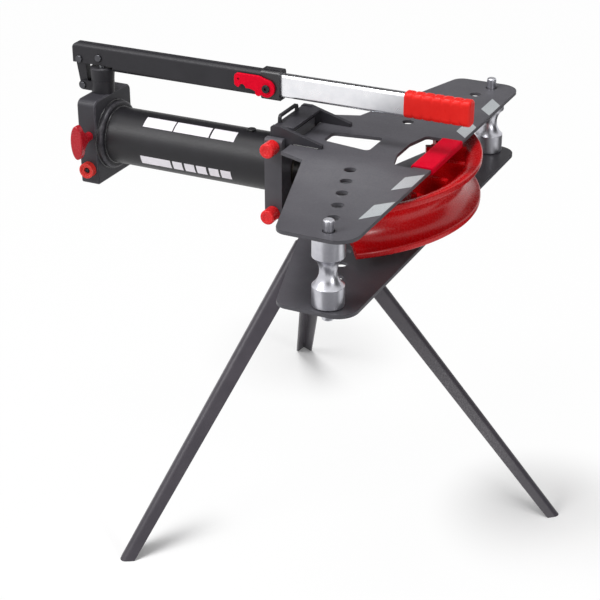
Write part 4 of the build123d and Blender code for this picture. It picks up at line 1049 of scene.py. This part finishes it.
@dataclass
class Bending:
    """Red former and the two rollers."""

    cast_edge: float = 1.2
    lathe_edge: float = 0.4
    facets: int = 96
    waist: float = 27.2
    groove: float = 30.45
    groove_steps: int = 14
    flange_edge: float = 2.0
    play: float = 0.3
    journal: float = 19.0
    top_journal: float = 18.6
    journal_sink: float = 5.0
    knob_neck: float = 15.2
    knob_head: float = 16.6
    knob_lip: float = 7.0
    knob_edge: float = 1.6

    def build(self) -> None:
        """Dresses the former and the rollers."""
        round_node("former", Coat.FORMER, self.cast_edge)
        for node in ("roller_near", "roller_far"):
            self.roller(node)

    def outline(self, node: str) -> list[Span]:
        """Draws a roller's outline from the foot of its tail to the top of its knob.

        Args:
            node: the CAD node of the roller.

        Returns:
            Radius and height of each corner in metres, with the groove as an arc.
        """
        low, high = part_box(node)
        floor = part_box("lower_plate")[1].z + self.play * MM
        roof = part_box("wing_plate")[0].z - self.play * MM
        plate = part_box("wing_plate")[1].z
        radius, middle = (high.x - low.x) / 2, (floor + roof) / 2
        tail, top = self.journal / 2 * MM, self.top_journal / 2 * MM
        neck, head = self.knob_neck / 2 * MM, self.knob_head / 2 * MM
        edge, rim, lip = self.flange_edge * MM, self.knob_edge * MM, plate + self.knob_lip * MM
        sink = plate - self.journal_sink * MM
        # The arc's centre lies outside the roller, on its middle
        arc = self.groove * MM
        centre = self.waist / 2 * MM + arc
        half = math.acos((centre - radius) / arc)
        turns = [half * (2 * step / self.groove_steps - 1) for step in range(self.groove_steps + 1)]
        groove = [(centre - arc * math.cos(turn), middle + arc * math.sin(turn)) for turn in turns]
        return [(0, low.z), (tail - edge, low.z), (tail, low.z + edge), (tail, floor), (radius - edge, floor),
                (radius, floor + edge), *groove, (radius, roof - edge), (radius - edge, roof), (top, roof),
                (top, sink), (neck, sink), (neck, lip), (head, lip + rim), (head, high.z - rim),
                (head - rim, high.z), (0, high.z)]

    def roller(self, node: str) -> None:
        """Turns a roller on the lathe, with its flat ends left as the facing tool cut them.

        Args:
            node: the CAD node of the roller.
        """
        middle = middle_and_size(node)[0]
        axis = Vector((middle.x, middle.y, 0))
        shape = bmesh.new()
        corners = [shape.verts.new(axis + Vector((r, 0, z))) for r, z in self.outline(node)]
        lines = [shape.edges.new(pair) for pair in zip(corners, corners[1:])]
        bmesh.ops.spin(shape, geom=corners + lines, cent=axis, axis=(0, 0, 1), angle=FULL_TURN,
                       steps=self.facets, use_merge=True)
        bmesh.ops.remove_doubles(shape, verts=shape.verts[:], dist=MERGE)
        outward(shape)
        round_edges(shape, self.lathe_edge)
        piece = stand_in(node, shape, Coat.ROLLER)
        piece.data.materials.append(Coat.FACED.value.material())
        for face in piece.data.polygons:
            if abs(face.normal.z) > SQUARE:
                face.material_index = 1


@dataclass
class Tripod:
    """Three pressed legs in their brackets."""

    ear_edge: float = 0.8
    leg_edge: float = 0.6
    sole: float = 2.0
    legs: tuple[str, ...] = ("leg_front", "leg_near", "leg_far")

    def build(self) -> None:
        """Dresses the tripod."""
        round_node("tripod_ears", Coat.BLOCK, self.ear_edge)
        keep_node("leg_bolts", Coat.BOLT)
        for leg in self.legs:
            round_node(leg, Coat.LEG, self.leg_edge)

    def feet(self) -> list[Vector]:
        """Finds where the legs meet the floor.

        Returns:
            The middle of each leg's lowest points in metres.
        """
        spots = []
        for leg in self.legs:
            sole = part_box(leg)[0].z + self.sole * MM
            foot = [v.co for v in frame["nodes"][leg].data.vertices if v.co.z < sole]
            spots.append(sum(foot, Vector()) / len(foot))
        return spots


@dataclass(frozen=True)
class Lamp:
    """Soft square lamp: where it hangs, what it faces, its side and its watts."""

    name: str
    place: Point
    aim: Point
    side: float
    power: float

    def hang(self) -> None:
        """Hangs the lamp."""
        light = bpy.data.lights.new(self.name, "AREA")
        light.shape = "SQUARE"
        light.size = self.side
        light.energy = self.power
        lamp = bpy.data.objects.new(self.name, light)
        bpy.context.scene.collection.objects.link(lamp)
        lamp.location = self.place
        lamp.rotation_euler = (Vector(self.aim) - Vector(self.place)).to_track_quat("-Z", "Y").to_euler()


@dataclass(frozen=True)
class Card:
    """Grey card that only reflections meet, as a studio stands one up to give metal its contrast."""

    name: str
    place: Point
    aim: Point
    width: float
    height: float
    tone: str

    def stand(self) -> None:
        """Stands the card up, out of sight of all rays but reflections."""
        face = (Vector(self.aim) - Vector(self.place)).to_track_quat("Z", "Y").to_matrix().to_4x4()
        size = Matrix.Diagonal((self.width, self.height, 1, 1))
        shape = bmesh.new()
        bmesh.ops.create_grid(shape, x_segments=1, y_segments=1, size=0.5,
                              matrix=Matrix.Translation(self.place) @ face @ size)
        card = mesh_object(self.name, shape)
        card.visible_camera = card.visible_diffuse = card.visible_shadow = card.visible_transmission = False
        paint = bare_material(self.name + "_matt_paper")
        dark = add_node(paint.node_tree, "BsdfDiffuse", sockets={"Color": linear(self.tone)})
        add_node(paint.node_tree, "OutputMaterial", sockets={"Surface": dark.outputs["BSDF"]})
        card.data.materials.append(paint)


@dataclass
class Studio:
    """White floor, soft light and the camera."""

    eye: Point = (1.0524, -2.2337, 1.5757)
    aim: Point = (-0.0259, 0.0117, 0.3289)
    lens: float = 94.35
    sensor: float = 36.0
    floor_half: float = 12.0
    sky: float = 0.32
    # Share of plain white that the camera sees on the floor: at a foot, and away from the feet
    lift: float = 0.1
    wide: float = 0.975
    # Distances from a foot over which the share grows
    spot: Span = (0.03, 0.24)
    lamps: tuple[Lamp, ...] = (
        Lamp("overhead_softbox", (-0.3, -0.4, 3.0), (0.0, 0.0, 0.5), 0.9, 40.0),
        Lamp("left_softbox", (-1.7, -2.2, 2.7), (0.0, 0.0, 0.5), 1.6, 54.0),
        Lamp("right_softbox", (2.3, -1.15, 1.05), (0.15, -0.1, 0.57), 0.5, 12.0))
    cards: tuple[Card, ...] = (
        Card("upper_card", (-1.0, 1.2, 2.35), (0.0, 0.0, 0.68), 2.0, 2.7, "#1C1C1E"),
        Card("rear_card", (-0.9, 2.4, 1.75), (-0.5, 0.0, 1.75), 3.6, 1.0, "#1C1C1E"),
        Card("lens_card", (1.5, -3.1, 2.3), (0.0, 0.0, 0.6), 2.6, 1.7, "#242426"),
        Card("right_card", (2.7, 0.9, 1.3), (0.0, 0.9, 1.3), 3.4, 2.6, "#242426"),
        Card("front_card", (0.92, -1.375, 0.004), (0.92, -1.375, 1.0), 2.16, 1.65, "#747478"),
        Card("back_card", (1.05, 1.45, 0.004), (1.05, 1.45, 1.0), 1.5, 1.5, "#3A3A3C"),
        Card("side_card", (1.75, -0.38, 0.004), (1.75, -0.38, 1.0), 1.9, 0.5, "#747478"))

    def build(self) -> None:
        """Sets the stage."""
        self.floor()
        self.world()
        for lamp in self.lamps:
            lamp.hang()
        for card in self.cards:
            card.stand()
        self.camera()
        bpy.context.scene.view_settings.view_transform = "Standard"

    def seen(self, tree: Tree) -> Socket:
        """Tells rays that look at the background from rays that light the object.

        Args:
            tree: the node tree of the floor or the world.

        Returns:
            One for camera, glossy and transmission rays, otherwise nought.
        """
        path = add_node(tree, "LightPath")
        shiny = add_node(tree, "Math", {"operation": "MAXIMUM"}, {
            0: path.outputs["Is Glossy Ray"], 1: path.outputs["Is Transmission Ray"]})
        return add_node(tree, "Math", {"operation": "MAXIMUM"}, {
            0: path.outputs["Is Camera Ray"], 1: shiny.outputs["Value"]}).outputs["Value"]

    def floor(self) -> None:
        """Lays a plain white floor that keeps the shadow round the feet."""
        shape = bmesh.new()
        bmesh.ops.create_grid(shape, x_segments=1, y_segments=1, size=self.floor_half)
        floor = mesh_object("floor", shape)
        paint = bare_material("white_paper_floor")
        tree = paint.node_tree
        place = add_node(tree, "TexCoord").outputs["Object"]
        share: Socket | None = None
        for foot in Tripod().feet():
            away = add_node(tree, "VectorMath", {"operation": "DISTANCE"}, {0: place, 1: foot})
            spot = add_node(tree, "MapRange", {"interpolation_type": "SMOOTHSTEP"}, {
                "Value": away.outputs["Value"], "From Min": self.spot[0], "From Max": self.spot[1],
                "To Min": self.lift, "To Max": self.wide}).outputs["Result"]
            share = spot if share is None else add_node(tree, "Math", {"operation": "MINIMUM"}, {
                0: share, 1: spot}).outputs["Value"]
        part = add_node(tree, "Math", {"operation": "MULTIPLY"}, {0: self.seen(tree), 1: share})
        paper = add_node(tree, "BsdfDiffuse", sockets={"Color": linear("#FCFCFC")})
        white = add_node(tree, "Emission", sockets={"Color": linear("#FFFFFF"), "Strength": 1.0})
        sheet = add_node(tree, "MixShader", sockets={
            "Fac": part.outputs["Value"], 1: paper.outputs["BSDF"], 2: white.outputs["Emission"]})
        add_node(tree, "OutputMaterial", sockets={"Surface": sheet.outputs["Shader"]})
        floor.data.materials.append(paint)

    def world(self) -> None:
        """Gives an even sky that the camera and the metals see as white."""
        made = bpy.data.worlds.new("studio")
        bpy.context.scene.world = made
        made.use_nodes = True
        tree = made.node_tree
        tree.nodes.clear()
        level = add_node(tree, "MapRange", sockets={
            "Value": self.seen(tree), "To Min": self.sky, "To Max": 1.0})
        sky = add_node(tree, "Background", sockets={
            "Color": linear("#FFFFFF"), "Strength": level.outputs["Result"]})
        add_node(tree, "OutputWorld", sockets={"Surface": sky.outputs["Background"]})

    def camera(self) -> None:
        """Puts the camera at the photograph's angle."""
        lens = bpy.data.cameras.new("camera")
        lens.lens = self.lens
        lens.sensor_width = self.sensor
        camera = bpy.data.objects.new("camera", lens)
        bpy.context.scene.collection.objects.link(camera)
        camera.location = self.eye
        camera.rotation_euler = (Vector(self.aim) - Vector(self.eye)).to_track_quat("-Z", "Y").to_euler()
        bpy.context.scene.camera = camera


def main() -> None:
    """Builds the sub-assemblies in order and sets the stage."""
    logging.basicConfig(level=logging.INFO, format="%(message)s")
    for part in (Cylinder(), Pump(), Lever(), Wings(), Bending(), Tripod(), Studio()):
        LOG.info("%s", type(part).__name__)
        part.build()


if __name__ == "__main__":
    main()
